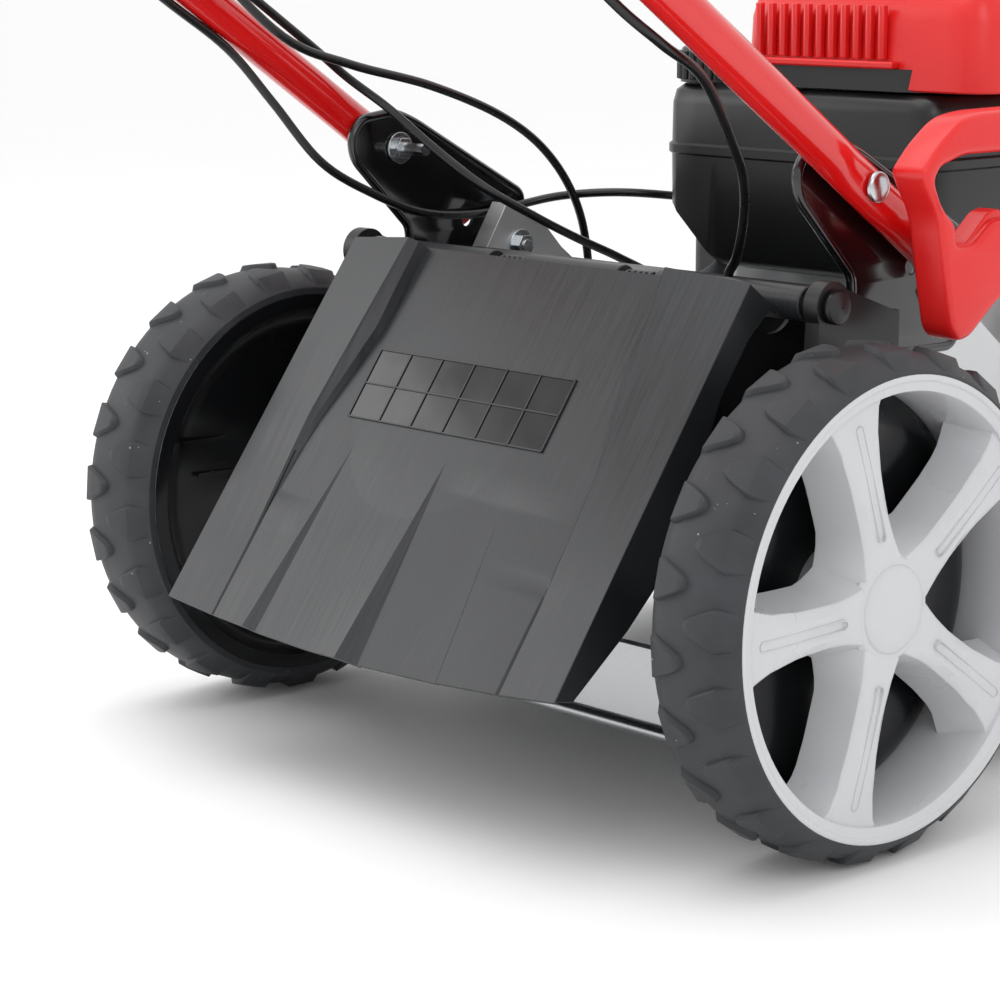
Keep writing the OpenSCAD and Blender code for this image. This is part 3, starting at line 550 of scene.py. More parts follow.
# Tyre compound: mid-grey and dull, with a fine pebbled skin, tone worn in soft patches, and pale
# grains of dust that sit on the tread
tyre_grey, tree, shader, place = finish_material("tyre_compound_grey", "#2c2e31", 0.5)
pebbles = add_node(tree, "ShaderNodeTexNoise", {"Vector": place, "Scale": 1000 / 1.1, "Detail": 2.0})
worn = add_node(tree, "ShaderNodeTexNoise", {"Vector": place, "Scale": 1000 / 24, "Detail": 5.0})
specks = add_node(tree, "ShaderNodeTexVoronoi", {"Vector": place, "Scale": 1000 / 5.5})
rare = add_node(tree, "ShaderNodeTexNoise", {"Vector": place, "Scale": 1000 / 14, "Detail": 2.0})
dust_size = add_node(tree, "ShaderNodeMapRange", {"Value": rare.outputs["Fac"], "From Min": 0.52,
                     "From Max": 0.72, "To Min": 0.0, "To Max": 0.13})
dust = add_node(tree, "ShaderNodeMath", {0: specks.outputs["Distance"], 1: dust_size.outputs["Result"]},
                operation="LESS_THAN")
shades = ramp(tree, worn.outputs["Fac"], [(0.35, "#232528"), (0.7, "#323438")])
dusty = add_node(tree, "ShaderNodeMix", {"Factor": dust.outputs["Value"]}, data_type="RGBA")
tree.links.new(shades, dusty.inputs[6])
dusty.inputs[7].default_value = colour("#9a958c")
gloss = add_node(tree, "ShaderNodeMapRange", {"Value": worn.outputs["Fac"], "From Min": 0.3,
                 "From Max": 0.7, "To Min": 0.5, "To Max": 0.62})
relief = add_node(tree, "ShaderNodeBump", {"Height": pebbles.outputs["Fac"], "Strength": 0.5,
                  "Distance": 0.0001})
tree.links.new(dusty.outputs[2], shader.inputs["Base Color"])
tree.links.new(gloss.outputs["Result"], shader.inputs["Roughness"])
tree.links.new(relief.outputs["Normal"], shader.inputs["Normal"])

# One lug, drawn on the +X half of the tread, in millimetres: its outline runs from the shoulder to a
# blunt apex near the middle of the tread, its crown follows the tyre, and its flanks are drafted.


def lug_mesh(radius, width, drop):
    """Points and faces of one tyre lug of a tyre of that radius and width; drop is its height."""
    half = width / 2
    stations = [(half - 1.0, radius - 11.5, 9.0), (half - 9.5, radius - 1.6, 10.8),
                (half - 17, radius - 0.5, 8.2), (half - 25, radius, 4.8), (half - 28, radius, 2.6),
                (half - 29.2, radius, 0.9)]
    crown, foot = [], []
    for along, top, wide in stations:
        crown += [(along, side * wide, top) for side in (-1, 1)]
        foot += [(along - (1.4 if along < half - 27 else 0), side * (wide + 1.0), top - drop)
                 for side in (-1, 1)]
    count = len(crown)
    points = [(a / 1000, t / 1000, math.sqrt(max(h * h - t * t, 1)) / 1000) for a, t, h in crown + foot]
    faces = []
    for k in range(0, count - 2, 2):
        faces += [(k, k + 1, k + 3, k + 2), (k, k + 2, count + k + 2, count + k),
                  (k + 3, k + 1, count + k + 1, count + k + 3)]
    faces += [(0, count, count + 1, 1), (count - 2, count - 1, 2 * count - 1, 2 * count - 2)]
    return points, faces


# The tread tree turns one lug about the axle, once for each side of the tyre, half a pitch apart
tread_tree, given, result = geometry_tree("tread_lugs", {"Lugs": "Int", "Finish": "Material"})
row = add_node(tread_tree, "GeometryNodeMeshLine", {"Count": given["Lugs"], "Offset": (0.0, 0.0, 0.0)})
index = add_node(tread_tree, "GeometryNodeInputIndex").outputs["Index"]
far_half = add_node(tread_tree, "GeometryNodeTransform", {"Geometry": given["Geometry"],
                    "Rotation": (0.0, 0.0, math.pi)}).outputs["Geometry"]
tread = add_node(tread_tree, "GeometryNodeJoinGeometry")
for lugs, shift in ((given["Geometry"], 0.0), (far_half, 0.5)):
    step = add_node(tread_tree, "ShaderNodeMath", {0: index, 1: shift}, operation="ADD").outputs[0]
    share = add_node(tread_tree, "ShaderNodeMath", {0: step, 1: given["Lugs"]},
                     operation="DIVIDE").outputs[0]
    angle = add_node(tread_tree, "ShaderNodeMath", {0: share, 1: math.tau}, operation="MULTIPLY").outputs[0]
    turn = add_node(tread_tree, "ShaderNodeCombineXYZ", {"X": angle}).outputs[0]
    placed = add_node(tread_tree, "GeometryNodeInstanceOnPoints", {"Points": row.outputs["Mesh"],
                      "Instance": lugs, "Rotation": turn})
    tread_tree.links.new(placed.outputs["Instances"], tread.inputs["Geometry"])
finish_tree(tread_tree, given, result, tread.outputs["Geometry"])

for axle, radius, width, seat, lugs in (("rear", 140, 61, 122, 21), ("front", 100, 50, 84, 15)):
    half = width / 2
    carcass = [(seat, half - 1), (seat + 1, half), (radius - 13, half - 0.2), (radius - 11.5, half - 1.2),
               (radius - 5.2, half - 9.5), (radius - 3.6, half - 16), (radius - 3.0, 0)]
    carcass += [(r, -a) for r, a in reversed(carcass[:-1])]
    for hand in ("left", "right"):
        body, node = f"wheel_{axle}_{hand}", f"tyre_{axle}_{hand}"
        tyre = new_piece(node + "_carcass", *lathe(carcass, 96), tyre_grey, limit=26)
        mount(set_wheel(tyre, node), body, "tyre_grey", node)
        lug = new_piece(node + "_tread", *lug_mesh(radius, width, 4.6), tyre_grey, limit=22)
        soften(lug, 0.45, segments=1, angle=20)
        grown(lug, tread_tree, {"Lugs": lugs, "Finish": tyre_grey})
        mount(set_wheel(lug, node), body, "tyre_grey")

# Rim plastic: light silver-grey polypropylene with metal flake, satin, with faint flow marks
rim_silver = grained("rim_polypropylene_silver", "#c9cacc", "#bfc0c3", 0.3, 1.6, 50, 0.02, spread=0.05)


def spoke_mesh(seat, hub, face, first):
    """Points and faces of the five spokes: a raised spine on a wider face, with drafted walls behind."""
    parts, reach = [], seat - 4
    for k in range(5):
        turn = Matrix.Rotation(math.radians(first + 72 * k), 3, "X")
        sections = []
        for step in range(15):
            radius = hub - 6 + (reach - hub + 6) * step / 14
            share = (radius - hub + 6) / (reach - hub + 6)
            wide = between(share, [(0, 15.5), (0.12, 13), (0.3, 11.5), (0.55, 12.2), (0.8, 15.5),
                                   (0.93, 19.5), (1, 25)])
            spine = between(share, [(0, 9), (0.3, 6.2), (0.7, 7.6), (1, 9.5)])
            rise = between(share, [(0, 0.0), (0.25, 2.6), (0.6, 2.4), (0.9, 0.8), (1, 0.2)])
            flare = between(share, [(0, 16), (0.25, 6), (0.75, 6), (1, 14)])
            outer = face + between(share, [(0, -1.5), (0.5, -0.6), (1, 1.2)])
            sections.append([(radius, w, a) for w, a in (
                (-wide - flare, outer - 27), (-wide - 0.35 * flare, outer - 11), (-wide, outer - 0.9),
                (-wide + 0.9, outer), (-spine, outer + rise), (spine, outer + rise), (wide - 0.9, outer),
                (wide, outer - 0.9), (wide + 0.35 * flare, outer - 11), (wide + flare, outer - 27))])
        count = len(sections[0])
        points = [turn @ Vector((a / 1000, r / 1000, w / 1000))
                  for section in sections for r, w, a in section]
        faces = [(i * count + j, i * count + (j + 1) % count, (i + 1) * count + (j + 1) % count,
                  (i + 1) * count + j) for i in range(len(sections) - 1) for j in range(count)]
        faces += [tuple(range(count - 1, -1, -1)),
                  tuple((len(sections) - 1) * count + j for j in range(count))]
        parts.append((points, faces))
    return merged(parts)


for axle, seat, width, hub, hub_face in (("rear", 122, 62, 30, 24.6), ("front", 84, 51, 24, 19.5)):
    half = width / 2
    lip = seat + 4
    ring = [(seat - 5, -half), (seat, -half), (seat, half - 2.5), (lip, half - 2), (lip, half - 0.6),
            (lip - 0.8, half), (lip - 3.2, half), (lip - 4, half - 1.2), (seat - 5, half - 2.4),
            (seat - 6.5, half - 8), (seat - 9, half - 34)]
    boss = [(14, -half + 4), (hub, -half + 4), (hub, hub_face - 4), (hub - 2, hub_face - 1.5),
            (hub - 4, hub_face - 0.5), (14, hub_face - 0.5)]
    for hand, first in (("left", 71), ("right", 109)):
        body, node = f"wheel_{axle}_{hand}", f"rim_{axle}_{hand}"
        spokes = spoke_mesh(seat, hub, half - 6, first)
        parts = merged([lathe(ring, 128), lathe(boss, 64), spokes])
        rim = new_piece(node + "_moulding", *parts, rim_silver, 30)
        mount(set_wheel(soften(rim, 0.7), "tyre_" + node[4:]), body, "rim_silver", node)

# A slim rounded-end bar stands in relief along each spine, round the groove of the moulding
bead_tree, given, result = geometry_tree("spoke_beads", {"Spokes": "Int", "First": "Float",
                                         "Finish": "Material"})
row = add_node(bead_tree, "GeometryNodeMeshLine", {"Count": given["Spokes"], "Offset": (0.0, 0.0, 0.0)})
index = add_node(bead_tree, "GeometryNodeInputIndex").outputs["Index"]
share = add_node(bead_tree, "ShaderNodeMath", {0: index, 1: given["Spokes"]}, operation="DIVIDE").outputs[0]
angle = add_node(bead_tree, "ShaderNodeMath", {0: share, 1: math.tau, 2: given["First"]},
                 operation="MULTIPLY_ADD").outputs[0]
turn = add_node(bead_tree, "ShaderNodeCombineXYZ", {"X": angle}).outputs[0]
placed = add_node(bead_tree, "GeometryNodeInstanceOnPoints", {"Points": row.outputs["Mesh"],
                  "Instance": given["Geometry"], "Rotation": turn})
finish_tree(bead_tree, given, result, placed.outputs["Instances"])


def bead_loop(inner, outer, face_in, face_out, gap):
    """A thin raised line that runs round a long narrow loop, from radius inner to outer."""
    route = [(inner + (outer - inner) * k / 10, -gap) for k in range(11)]
    route += [(outer + gap * math.sin(a), -gap * math.cos(a)) for a in (math.pi * k / 8 for k in range(1, 8))]
    route += [(outer - (outer - inner) * k / 10, gap) for k in range(11)]
    route += [(inner - gap * math.sin(a), gap * math.cos(a)) for a in (math.pi * k / 8 for k in range(1, 8))]
    points, faces, count = [], [], len(route)
    for k, (r, t) in enumerate(route):
        away = math.copysign(1, t) if t else 0
        level = face_in + (face_out - face_in) * (r - inner) / (outer - inner)
        points += [(level - 1, r, t - 0.5 * away), (level + 0.5, r, t - 0.2 * away),
                   (level + 0.5, r, t + 0.2 * away), (level - 1, r, t + 0.5 * away)]
    faces = [(4 * k + j, 4 * k + (j + 1) % 4, 4 * ((k + 1) % count) + (j + 1) % 4, 4 * ((k + 1) % count) + j)
             for k in range(count) for j in range(4)]
    return [tuple(v / 1000 for v in p) for p in points], faces


for axle, inner, outer, face_in, face_out in (("rear", 44, 106, 27.3, 26.8), ("front", 32, 72, 21.6, 20.9)):
    for hand, first in (("left", 71), ("right", 109)):
        bead = bead_loop(inner, outer, face_in, face_out, 2.6)
        beads = new_piece(f"rim_{axle}_{hand}_beads", *bead, rim_silver)
        grown(beads, bead_tree, {"Spokes": 5, "First": math.radians(first), "Finish": rim_silver})
        mount(set_wheel(beads, f"tyre_{axle}_{hand}"), f"wheel_{axle}_{hand}", "rim_silver")

# Hub caps snap into the rear rims: a shallow dome with a fine step round its edge
for hand in ("left", "right"):
    dome = [(25, 22.6)] + [(24.3 * math.cos(a), 24.0 + 4.6 * math.sin(a)) for a in
                           (math.pi / 2 * k / 10 for k in range(11))]
    back = [(0, 21.5), (25, 21.5)]
    cap = new_piece(f"hub_cap_{hand}_dome", *lathe(dome + back, 64), rim_silver, limit=40)
    mount(set_wheel(cap, f"tyre_rear_{hand}"), f"wheel_rear_{hand}", "rim_silver", f"hub_cap_{hand}")

# Wheel covers: a glossier black moulding, dished towards the spokes, with a bead near its edge and
# two low ribs on its inner face
cover_black = grained("wheel_cover_black", "#131416", "#0d0e10", 0.24, 2.4, 45, 0.015, spread=0.05)
cover = [(31, -18.5), (45, -16.5), (70, -14), (95, -11.5), (103, -12.5), (110, -16), (116.2, -21),
         (116.9, -22), (116.9, -31.1), (122.8, -31.1), (122.8, -31.8), (114, -31.8), (112.6, -28),
         (111, -24), (106, -19.5), (100, -16), (92, -14.8), (70, -17), (45, -19.5), (31, -21.5)]
for hand in ("left", "right"):
    piece = new_piece(f"wheel_cover_{hand}", *lathe(cover, 96), cover_black, limit=40)
    mount(set_wheel(piece, f"tyre_rear_{hand}"), f"wheel_rear_{hand}", "moulded_black", f"wheel_disc_{hand}")
    ribs = [slab([(-0.0195, r0, t), (-0.0195, r1, t), (-0.0172, r1, t), (-0.0172, r0, t)], (0, 0, 0.0022))
            for r0, r1, t in ((0.052, 0.080, 0.012), (0.058, 0.092, 0.034))]
    rib = new_piece(f"wheel_cover_{hand}_ribs", *merged(ribs), cover_black)
    mount(set_wheel(rib, f"tyre_rear_{hand}"), f"wheel_rear_{hand}", "moulded_black")

# Flanged nylon bushes are pressed on the stub shafts: natural, faintly translucent cream
bush_nylon = grained("bush_nylon_natural", "#d8d2bf", "#cbc4ae", 0.45, 1.5, 20, 0.02)
for node in ("wheel_bushes_rear", "wheel_bushes_front"):
    keep_node(node, bush_nylon)

# ---------- flap rod and springs ----------
# A zinc-plated steel rod runs through the chute's cheeks and the flap's barrels; a torsion spring
# beside each middle barrel presses the flap shut.

# Zinc plate: bright grey-white metal with cloudy patches of tone and a fairly sharp shine
zinc_plate = grained("steel_zinc_plated", "#cfd2d4", "#b4b8bc", 0.24, 0.8, 9, 0.01, metallic=1.0)
finished_copy("flap_hinge_rod", zinc_plate, "zinc_steel", 0.4)
# Phosphated steel: near-black with a dull metallic shine
dark_steel = grained("steel_phosphated", "#5b5d60", "#47494c", 0.42, 1.0, 18, 0.02, metallic=1.0)
keep_node("flap_spring", dark_steel)
# Black plastic caps close the rod's ends
rod_middle = (rod_low + rod_high) / 2
cap_foot = 0.1995
rod_cap = [(0.5, 0), (9.2, 0), (9.6, 0.8), (9.6, 3.2), (8.8, 4.4), (5, 5.2), (0.5, 5.6)]
for side, hand in ((-1, "left"), (1, "right")):
    points, faces = lathe(rod_cap, 40)
    points = [Vector((side * (cap_foot + p[0]), p[1], p[2])) + rod_middle for p in points]
    mount(new_piece(f"flap_rod_cap_{hand}", points, faces, moulded_black, 40), "root", "moulded_black")

# ---------- handle brackets and bolts ----------
# Two brackets pressed from 3 mm steel plate carry the tubes. Their edge is turned over into a round
# rim that stiffens the plate, and they are powder-coated in gloss black.
rear_axle_y = (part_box("tyre_rear_right")[0].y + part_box("tyre_rear_right")[1].y) / 2


def filleted(corners, radius, closed=True, steps=6):
    """The outline with each corner rounded by an arc, at most as far as its sides allow."""
    rounded, count = [], len(corners)
    for k, corner in enumerate(corners):
        here = Vector(corner)
        if not closed and k in (0, count - 1):
            rounded.append(here)
            continue
        back, ahead = Vector(corners[k - 1]) - here, Vector(corners[(k + 1) % count]) - here
        cut = min(radius, 0.45 * back.length, 0.45 * ahead.length)
        start, end = here + back.normalized() * cut, here + ahead.normalized() * cut
        for step in range(steps + 1):
            t = step / steps
            rounded.append(start * (1 - t) ** 2 + here * 2 * t * (1 - t) + end * t ** 2)
    return rounded


def plate_piece(name, outlines, x0, x1, edge, material):
    """A plate across X from x0 to x1 with rounded edges; the first (y, z) outline is its rim, the others
    are its holes. All in millimetres, y from the rear axle."""
    curve = bpy.data.curves.new(name, "CURVE")
    curve.dimensions, curve.fill_mode = "2D", "BOTH"
    curve.extrude, curve.bevel_depth = (x1 - x0) / 2000 - edge / 1000, edge / 1000
    curve.bevel_resolution, curve.offset = 3, -edge / 1000
    for outline in outlines:
        spline = curve.splines.new("POLY")
        spline.points.add(len(outline) - 1)
        for point, (y, z) in zip(spline.points, outline):
            point.co = (y / 1000 + rear_axle_y, z / 1000, 0, 1)
        spline.use_cyclic_u = True
    drawn = bpy.data.objects.new(name, curve)
    bpy.context.scene.collection.objects.link(drawn)
    bpy.context.view_layer.update()
    mesh = bpy.data.meshes.new_from_object(drawn.evaluated_get(bpy.context.evaluated_depsgraph_get()))
    bpy.data.objects.remove(drawn)
    bpy.data.curves.remove(curve)
    stand = Matrix(((0, 0, 1, (x0 + x1) / 2000), (1, 0, 0, 0), (0, 1, 0, 0), (0, 0, 0, 1)))
    mesh.transform(stand)
    points, faces = [v.co.copy() for v in mesh.vertices], [tuple(p.vertices) for p in mesh.polygons]
    bpy.data.meshes.remove(mesh)
    return new_piece(name, points, faces, material, limit=40)


def tube_mesh(route, radius, sides=16, closed=False, flat=None):
    """Points and faces of a tube along a route in metres; flat(share) gives its width and depth there."""
    count = len(route)
    points, faces, side = [], [], None
    for k, here in enumerate(route):
        if closed:
            way = (route[(k + 1) % count] - route[k - 1]).normalized()
        else:
            way = (route[min(k + 1, count - 1)] - route[max(k - 1, 0)]).normalized()
        side = (side or Vector((1, 0, 0)) if abs(way.x) < 0.9 else side or Vector((0, 1, 0)))
        side = (side - way * side.dot(way)).normalized()
        wide, deep = flat(k / (count - 1)) if flat else (radius, radius)
        up = way.cross(side)
        points += [here + side * wide * math.cos(math.tau * j / sides)
                   + up * deep * math.sin(math.tau * j / sides) for j in range(sides)]
    for k in range(count if closed else count - 1):
        for j in range(sides):
            a, b = k * sides, (k + 1) % count * sides
            faces.append((a + j, a + (j + 1) % sides, b + (j + 1) % sides, b + j))
    if not closed:
        faces += [tuple(range(sides - 1, -1, -1)), tuple(range((count - 1) * sides, count * sides))]
    return points, faces


# Gloss black powder coat: deep black with a sharp clear skin and a trace of orange peel
black_coat = grained("powder_coat_black_gloss", "#0c0c0e", "#08080a", 0.16, 3.5, 30, 0.03, spread=0.03,
                     coat=0.6)
bracket_edge = filleted([(12, 366), (20, 377), (48, 381), (67, 374), (165, 320), (160, 303), (156, 256),
                         (86, 256), (66, 268), (33, 268), (33, 273), (54, 278), (62, 288), (60, 304),
                         (14, 352)], 9)
bolt_hole = [(112 + 4.5 * math.cos(a), 306 + 4.5 * math.sin(a))
             for a in (math.tau * k / 20 for k in range(20))]
# The plates' middle plane, half their thickness, and how far the rim is set in from their edge
plate_x, plate_half, rim_inset = 185.5, 1.3, 2.2
for side, hand in ((-1, "left"), (1, "right")):
    plate = plate_piece(f"bracket_{hand}_plate", [bracket_edge, bolt_hole], side * plate_x - plate_half,
                        side * plate_x + plate_half, 0.5, black_coat)
    mount(plate, "root", "black_paint", "handle_bracket_" + hand)
    middle = sum(bracket_edge, Vector((0, 0))) / len(bracket_edge)
    rim_route = [Vector((side * plate_x, p.x + rim_inset * (middle - p).normalized().x,
                         p.y + rim_inset * (middle - p).normalized().y)) / 1000
                 + Vector((0, rear_axle_y, 0)) for p in bracket_edge]
    rim = new_piece(f"bracket_{hand}_rim", *tube_mesh(rim_route, 0.003, 12, closed=True), black_coat, 60)
    mount(rim, "root", "black_paint")

# Flanged hexagon nuts and bolt ends are zinc-plated; Geometry Nodes set one at each place
nut_tree, given, result = geometry_tree("flanged_nuts", {"Across": "Float", "Height": "Float",
                                        "Stud": "Float", "Turn": "Vector", "Finish": "Material"})
nut_parts = add_node(nut_tree, "GeometryNodeJoinGeometry")
for sides, size, tall, lift in ((6, 0.577, 1.0, 0.5), (32, 0.78, 0.28, 0.14), (24, 0.3, 1.0, 0.8)):
    reach = add_node(nut_tree, "ShaderNodeMath", {0: given["Across"], 1: size},
                     operation="MULTIPLY").outputs[0]
    height = add_node(nut_tree, "ShaderNodeMath", {0: given["Height" if lift < 0.8 else "Stud"], 1: tall},
                      operation="MULTIPLY").outputs[0]
    rise = add_node(nut_tree, "ShaderNodeMath", {0: given["Height"], 1: lift},
                    operation="MULTIPLY").outputs[0]
    rise = add_node(nut_tree, "ShaderNodeCombineXYZ", {"Z": rise}).outputs[0]
    part = add_node(nut_tree, "GeometryNodeMeshCylinder", {"Vertices": sides, "Radius": reach,
                    "Depth": height})
    part = add_node(nut_tree, "GeometryNodeTransform", {"Geometry": part.outputs["Mesh"],
                    "Translation": rise})
    nut_tree.links.new(part.outputs["Geometry"], nut_parts.inputs["Geometry"])
spots = add_node(nut_tree, "GeometryNodeMeshToPoints", {"Mesh": given["Geometry"]})
placed = add_node(nut_tree, "GeometryNodeInstanceOnPoints", {"Points": spots.outputs["Points"],
                  "Instance": nut_parts.outputs["Geometry"], "Rotation": given["Turn"]})
finish_tree(nut_tree, given, result, placed.outputs["Instances"])


def nuts(name, places, across, height, stud, towards, body="root"):
    """Flanged nuts on a body at places in metres, their tops facing a direction."""
    mesh = bpy.data.meshes.new(name)
    mesh.from_pydata([tuple(p) for p in places], [], [])
    mesh.materials.append(zinc_plate)
    piece = bpy.data.objects.new(name, mesh)
    bpy.context.scene.collection.objects.link(piece)
    turn = Vector(towards).to_track_quat("Z", "Y").to_euler()
    grown(piece, nut_tree, {"Across": across, "Height": height, "Stud": stud, "Turn": tuple(turn),
                            "Finish": zinc_plate})
    soften(piece, 0.3)
    return mount(piece, body, "zinc_steel")


def from_axle(x, y, z):
    """A point in metres from millimetres, y from the rear axle."""
    return Vector((x / 1000, y / 1000 + rear_axle_y, z / 1000))


# The (y, z) places of the bolts through the tubes and through the pillars
tube_bolt, pillar_bolt = (52, 356), (134, 290)
for side, hand in ((-1, "left"), (1, "right")):
    nuts(f"bracket_{hand}_nuts", [from_axle(side * 183.6, *tube_bolt)], 0.013, 0.0065, 0.006,
         (-side, 0, 0))
    nuts(f"pillar_{hand}_bolts", [from_axle(side * 188.2, *pillar_bolt)], 0.013, 0.006, 0.002,
         (side, 0, 0))
nuts("pillar_inner_nuts", [from_axle(-157, *pillar_bolt)], 0.013, 0.0065, 0.005, (1, 0, 0))
nuts("pillar_inner_nuts_right", [from_axle(157, *pillar_bolt)], 0.013, 0.0065, 0.005, (-1, 0, 0))
carriage = [bar_between(from_axle(side * 157.5, *spot), from_axle(side * end, *spot), 0.0038)
            for side in (-1, 1) for spot, end in ((tube_bolt, 211), (pillar_bolt, 190))]
heads = []
dome = [(8.6 * math.cos(a), 2.6 * math.sin(a)) for a in (math.pi / 2 * k / 8 for k in range(9))]
dome += [(0, -1), (8.6, -1)]
for side in (-1, 1):
    points, faces = lathe(dome, 40)
    head_foot = from_axle(side * 211.6, *tube_bolt)
    heads.append(([head_foot + Vector((side * p[0], p[1], p[2])) for p in points], faces))
bolts = new_piece("tube_carriage_bolts", *merged(carriage + heads), zinc_plate, 45)
mount(bolts, "root", "zinc_steel", "handle_bolts")

# ---------- axles and height linkage ----------
# Bent steel arms weld to a cross shaft at each end of the deck; a flat zinc-plated rod makes the
# front pair follow the rear pair.

for node in ("rear_axle", "front_axle"):
    finished_copy(node, dark_steel, "dark_steel", 0.6)
finished_copy("height_link", zinc_plate, "zinc_steel", 0.5)

# ---------- height handle ----------
# The loop handle beside the right tube is a two-part red polypropylene moulding with a satin skin;
# the trigger in its grip frees the height latch.

# Red polypropylene: warm saturated red, satin, its edges catching a broad soft light
red_plastic = grained("polypropylene_red_satin", "#e0201f", "#d51a1b", 0.3, 1.4, 40, 0.02, spread=0.04)
handle_loop = filleted([(46, 366), (60, 380), (79, 393), (98, 396), (168, 397), (190, 384), (196, 360),
                        (186, 325), (150, 305), (117, 292), (92, 273), (82, 272), (76, 279), (70, 305),
                        (62, 341), (51, 357)], 8)
finger_hole = filleted([(58, 361), (63, 368), (84, 373.5), (160, 373.5), (168, 360), (164, 338), (112, 337),
                        (94, 324), (78, 325), (78, 336), (65, 347)], 6)
loop = plate_piece("height_handle_loop", [handle_loop, finger_hole], 222.2, 246, 4.0, red_plastic)
mount(loop, "root", "red_plastic", "height_handle")
trigger_edge = filleted([(86, 307), (86, 322), (94, 325), (112, 340), (122, 342), (126, 338),
                         (126, 307)], 3)
trigger = plate_piece("height_trigger_block", [trigger_edge], 226, 240, 1.5, red_plastic)
mount(trigger, "trigger", "red_plastic", "height_trigger")

# ---------- engine block ----------
# The crankcase, cylinder and carburettor are pressure die castings in bare aluminium alloy; the
# muffler is folded and pressed from steel sheet that heat has tinted.

# Bare engine alloy: lighter and smoother than the deck, with a faint grain
engine_alloy = grained("engine_alloy_cast", "#dcddde", "#c6c8c9", 0.5, 0.7, 30, 0.06, metallic=1.0)
for node, radius in (("crankcase", 1.2), ("cylinder", 0.4), ("carburettor", 0.6), ("flywheel", 0.4),
                     ("gearbox", 1.0)):
    finished_copy(node, engine_alloy, "engine_alloy", radius)
# Heat-tinted steel: brown-grey metal, blotched and rather dull
muffler_steel = grained("steel_heat_tinted", "#7d7570", "#5e5a58", 0.45, 1.2, 22, 0.03, metallic=1.0)
finished_copy("muffler", muffler_steel, "muffler_steel", 0.8)
# Glazed porcelain: warm white and glossy
porcelain = grained("porcelain_glazed", "#ece8de", "#e4dfd2", 0.12, 2.0, 15, 0.0, spread=0.03)
finished_copy("spark_plug", porcelain, "porcelain", 0.3)
for node in ("crankshaft", "blade_adapter", "gearbox_pulley"):
    finished_copy(node, dark_steel, "dark_steel", 0.4)
for node in ("air_filter", "blower_housing"):
    finished_copy(node, moulded_black, "moulded_black", 1.2)

# ---------- fuel tank ----------
# The tank is two polyethylene mouldings welded at a thin rim, with a round bulge for the filler and
# its underside cut away beneath it. A ribbed cap screws on the filler.


def inset(outline, distance):
    """The closed outline moved inwards by a distance along its own normals."""
    count, moved = len(outline), []
    for k, here in enumerate(outline):
        way = (outline[(k + 1) % count] - outline[k - 1]).normalized()
        moved.append(here + Vector((-way.y, way.x)) * distance)
    return moved


def lofted(outline, levels, floor=None):
    """Points and faces of a closed body from (height, inset) levels of one anticlockwise outline, in
    millimetres from the rear axle; floor(x) cuts its underside away."""
    points, faces, count = [], [], len(outline)
    for height, distance in levels:
        for p in inset(outline, distance):
            points.append(from_axle(p.x, p.y, max(height, floor(p.x)) if floor else height))
    for k in range(len(levels) - 1):
        faces += [(k * count + j, k * count + (j + 1) % count, (k + 1) * count + (j + 1) % count,
                   (k + 1) * count + j) for j in range(count)]
    faces += [tuple(range(count - 1, -1, -1)), tuple((len(levels) - 1) * count + j for j in range(count))]
    return points, faces


# Black polyethylene: satin, a shade warmer than the chute, with slow unevenness from blow moulding
tank_black = grained("polyethylene_black_satin", "#131416", "#0d0e10", 0.34, 2.5, 80, 0.05)
filler = Vector((-60, 218))
# The crankshaft's place from the rear axle, the radius that the tank clears about it, and the
# height of the cover's top
crank_y, scoop_radius, cover_top = 330, 103, 468
bulge = [filler + 31 * Vector((math.cos(a), math.sin(a))) for a in
         (math.radians(130 + 10 * k) for k in range(13))]
scoop = [Vector((scoop_radius * math.cos(a), crank_y + scoop_radius * math.sin(a))) for a in
         (math.radians(-8 - 12.2 * k) for k in range(13))]
tank_front = filleted([bulge[-1], (-38, 187), (141, 187), (141, 322), scoop[0]], 22, closed=False)
tank_plan = bulge + tank_front[1:-1] + scoop + [Vector((-86, 242))]
edge_inset = [(282, 9), (284, 4.5), (288, 2.5)]
tank_levels = edge_inset + [(351, 2), (352.5, 0), (357.5, 0), (359, 2), (384, 2.4), (392, 4.5), (396, 10)]
tank = new_piece("fuel_tank_moulding", *lofted(tank_plan, tank_levels,
                 lambda x: 282 + max(0, min((-32 - x) * 0.84, 37))), tank_black, 50)
mount(tank, "root", "tank_plastic", "fuel_tank")
nuts("tank_bolts", [from_axle(-91.5, 226, 318)], 0.012, 0.006, 0.002, (-1, -0.3, 0))

cap_ribs, given, result = geometry_tree("cap_ribs", {"Ribs": "Int", "Radius": "Float", "Height": "Float",
                                        "Finish": "Material"})
ring = add_node(cap_ribs, "GeometryNodeMeshCircle", {"Vertices": given["Ribs"], "Radius": given["Radius"]})
rib = add_node(cap_ribs, "GeometryNodeMeshCylinder", {"Vertices": 12, "Radius": 0.0024,
               "Depth": given["Height"]})
placed = add_node(cap_ribs, "GeometryNodeInstanceOnPoints", {"Points": ring.outputs["Mesh"],
                  "Instance": rib.outputs["Mesh"]})
both = add_node(cap_ribs, "GeometryNodeJoinGeometry")
cap_ribs.links.new(placed.outputs["Instances"], both.inputs["Geometry"])
cap_ribs.links.new(given["Geometry"], both.inputs["Geometry"])
finish_tree(cap_ribs, given, result, both.outputs["Geometry"])
cap_profile = [(0, -11), (24, -11), (24.4, 7), (23, 11), (18, 13.5), (0, 14)]
points, faces = lathe(cap_profile, 64)
cap = new_piece("fuel_cap_ribbed", [(z, y, x) for x, y, z in points], faces, tank_black, 40)
grown(cap, cap_ribs, {"Ribs": 24, "Radius": 0.0242, "Height": 0.018, "Finish": tank_black})
soften(cap, 0.5)
cap.data.transform(Matrix.Translation(from_axle(filler.x, filler.y, 408)))
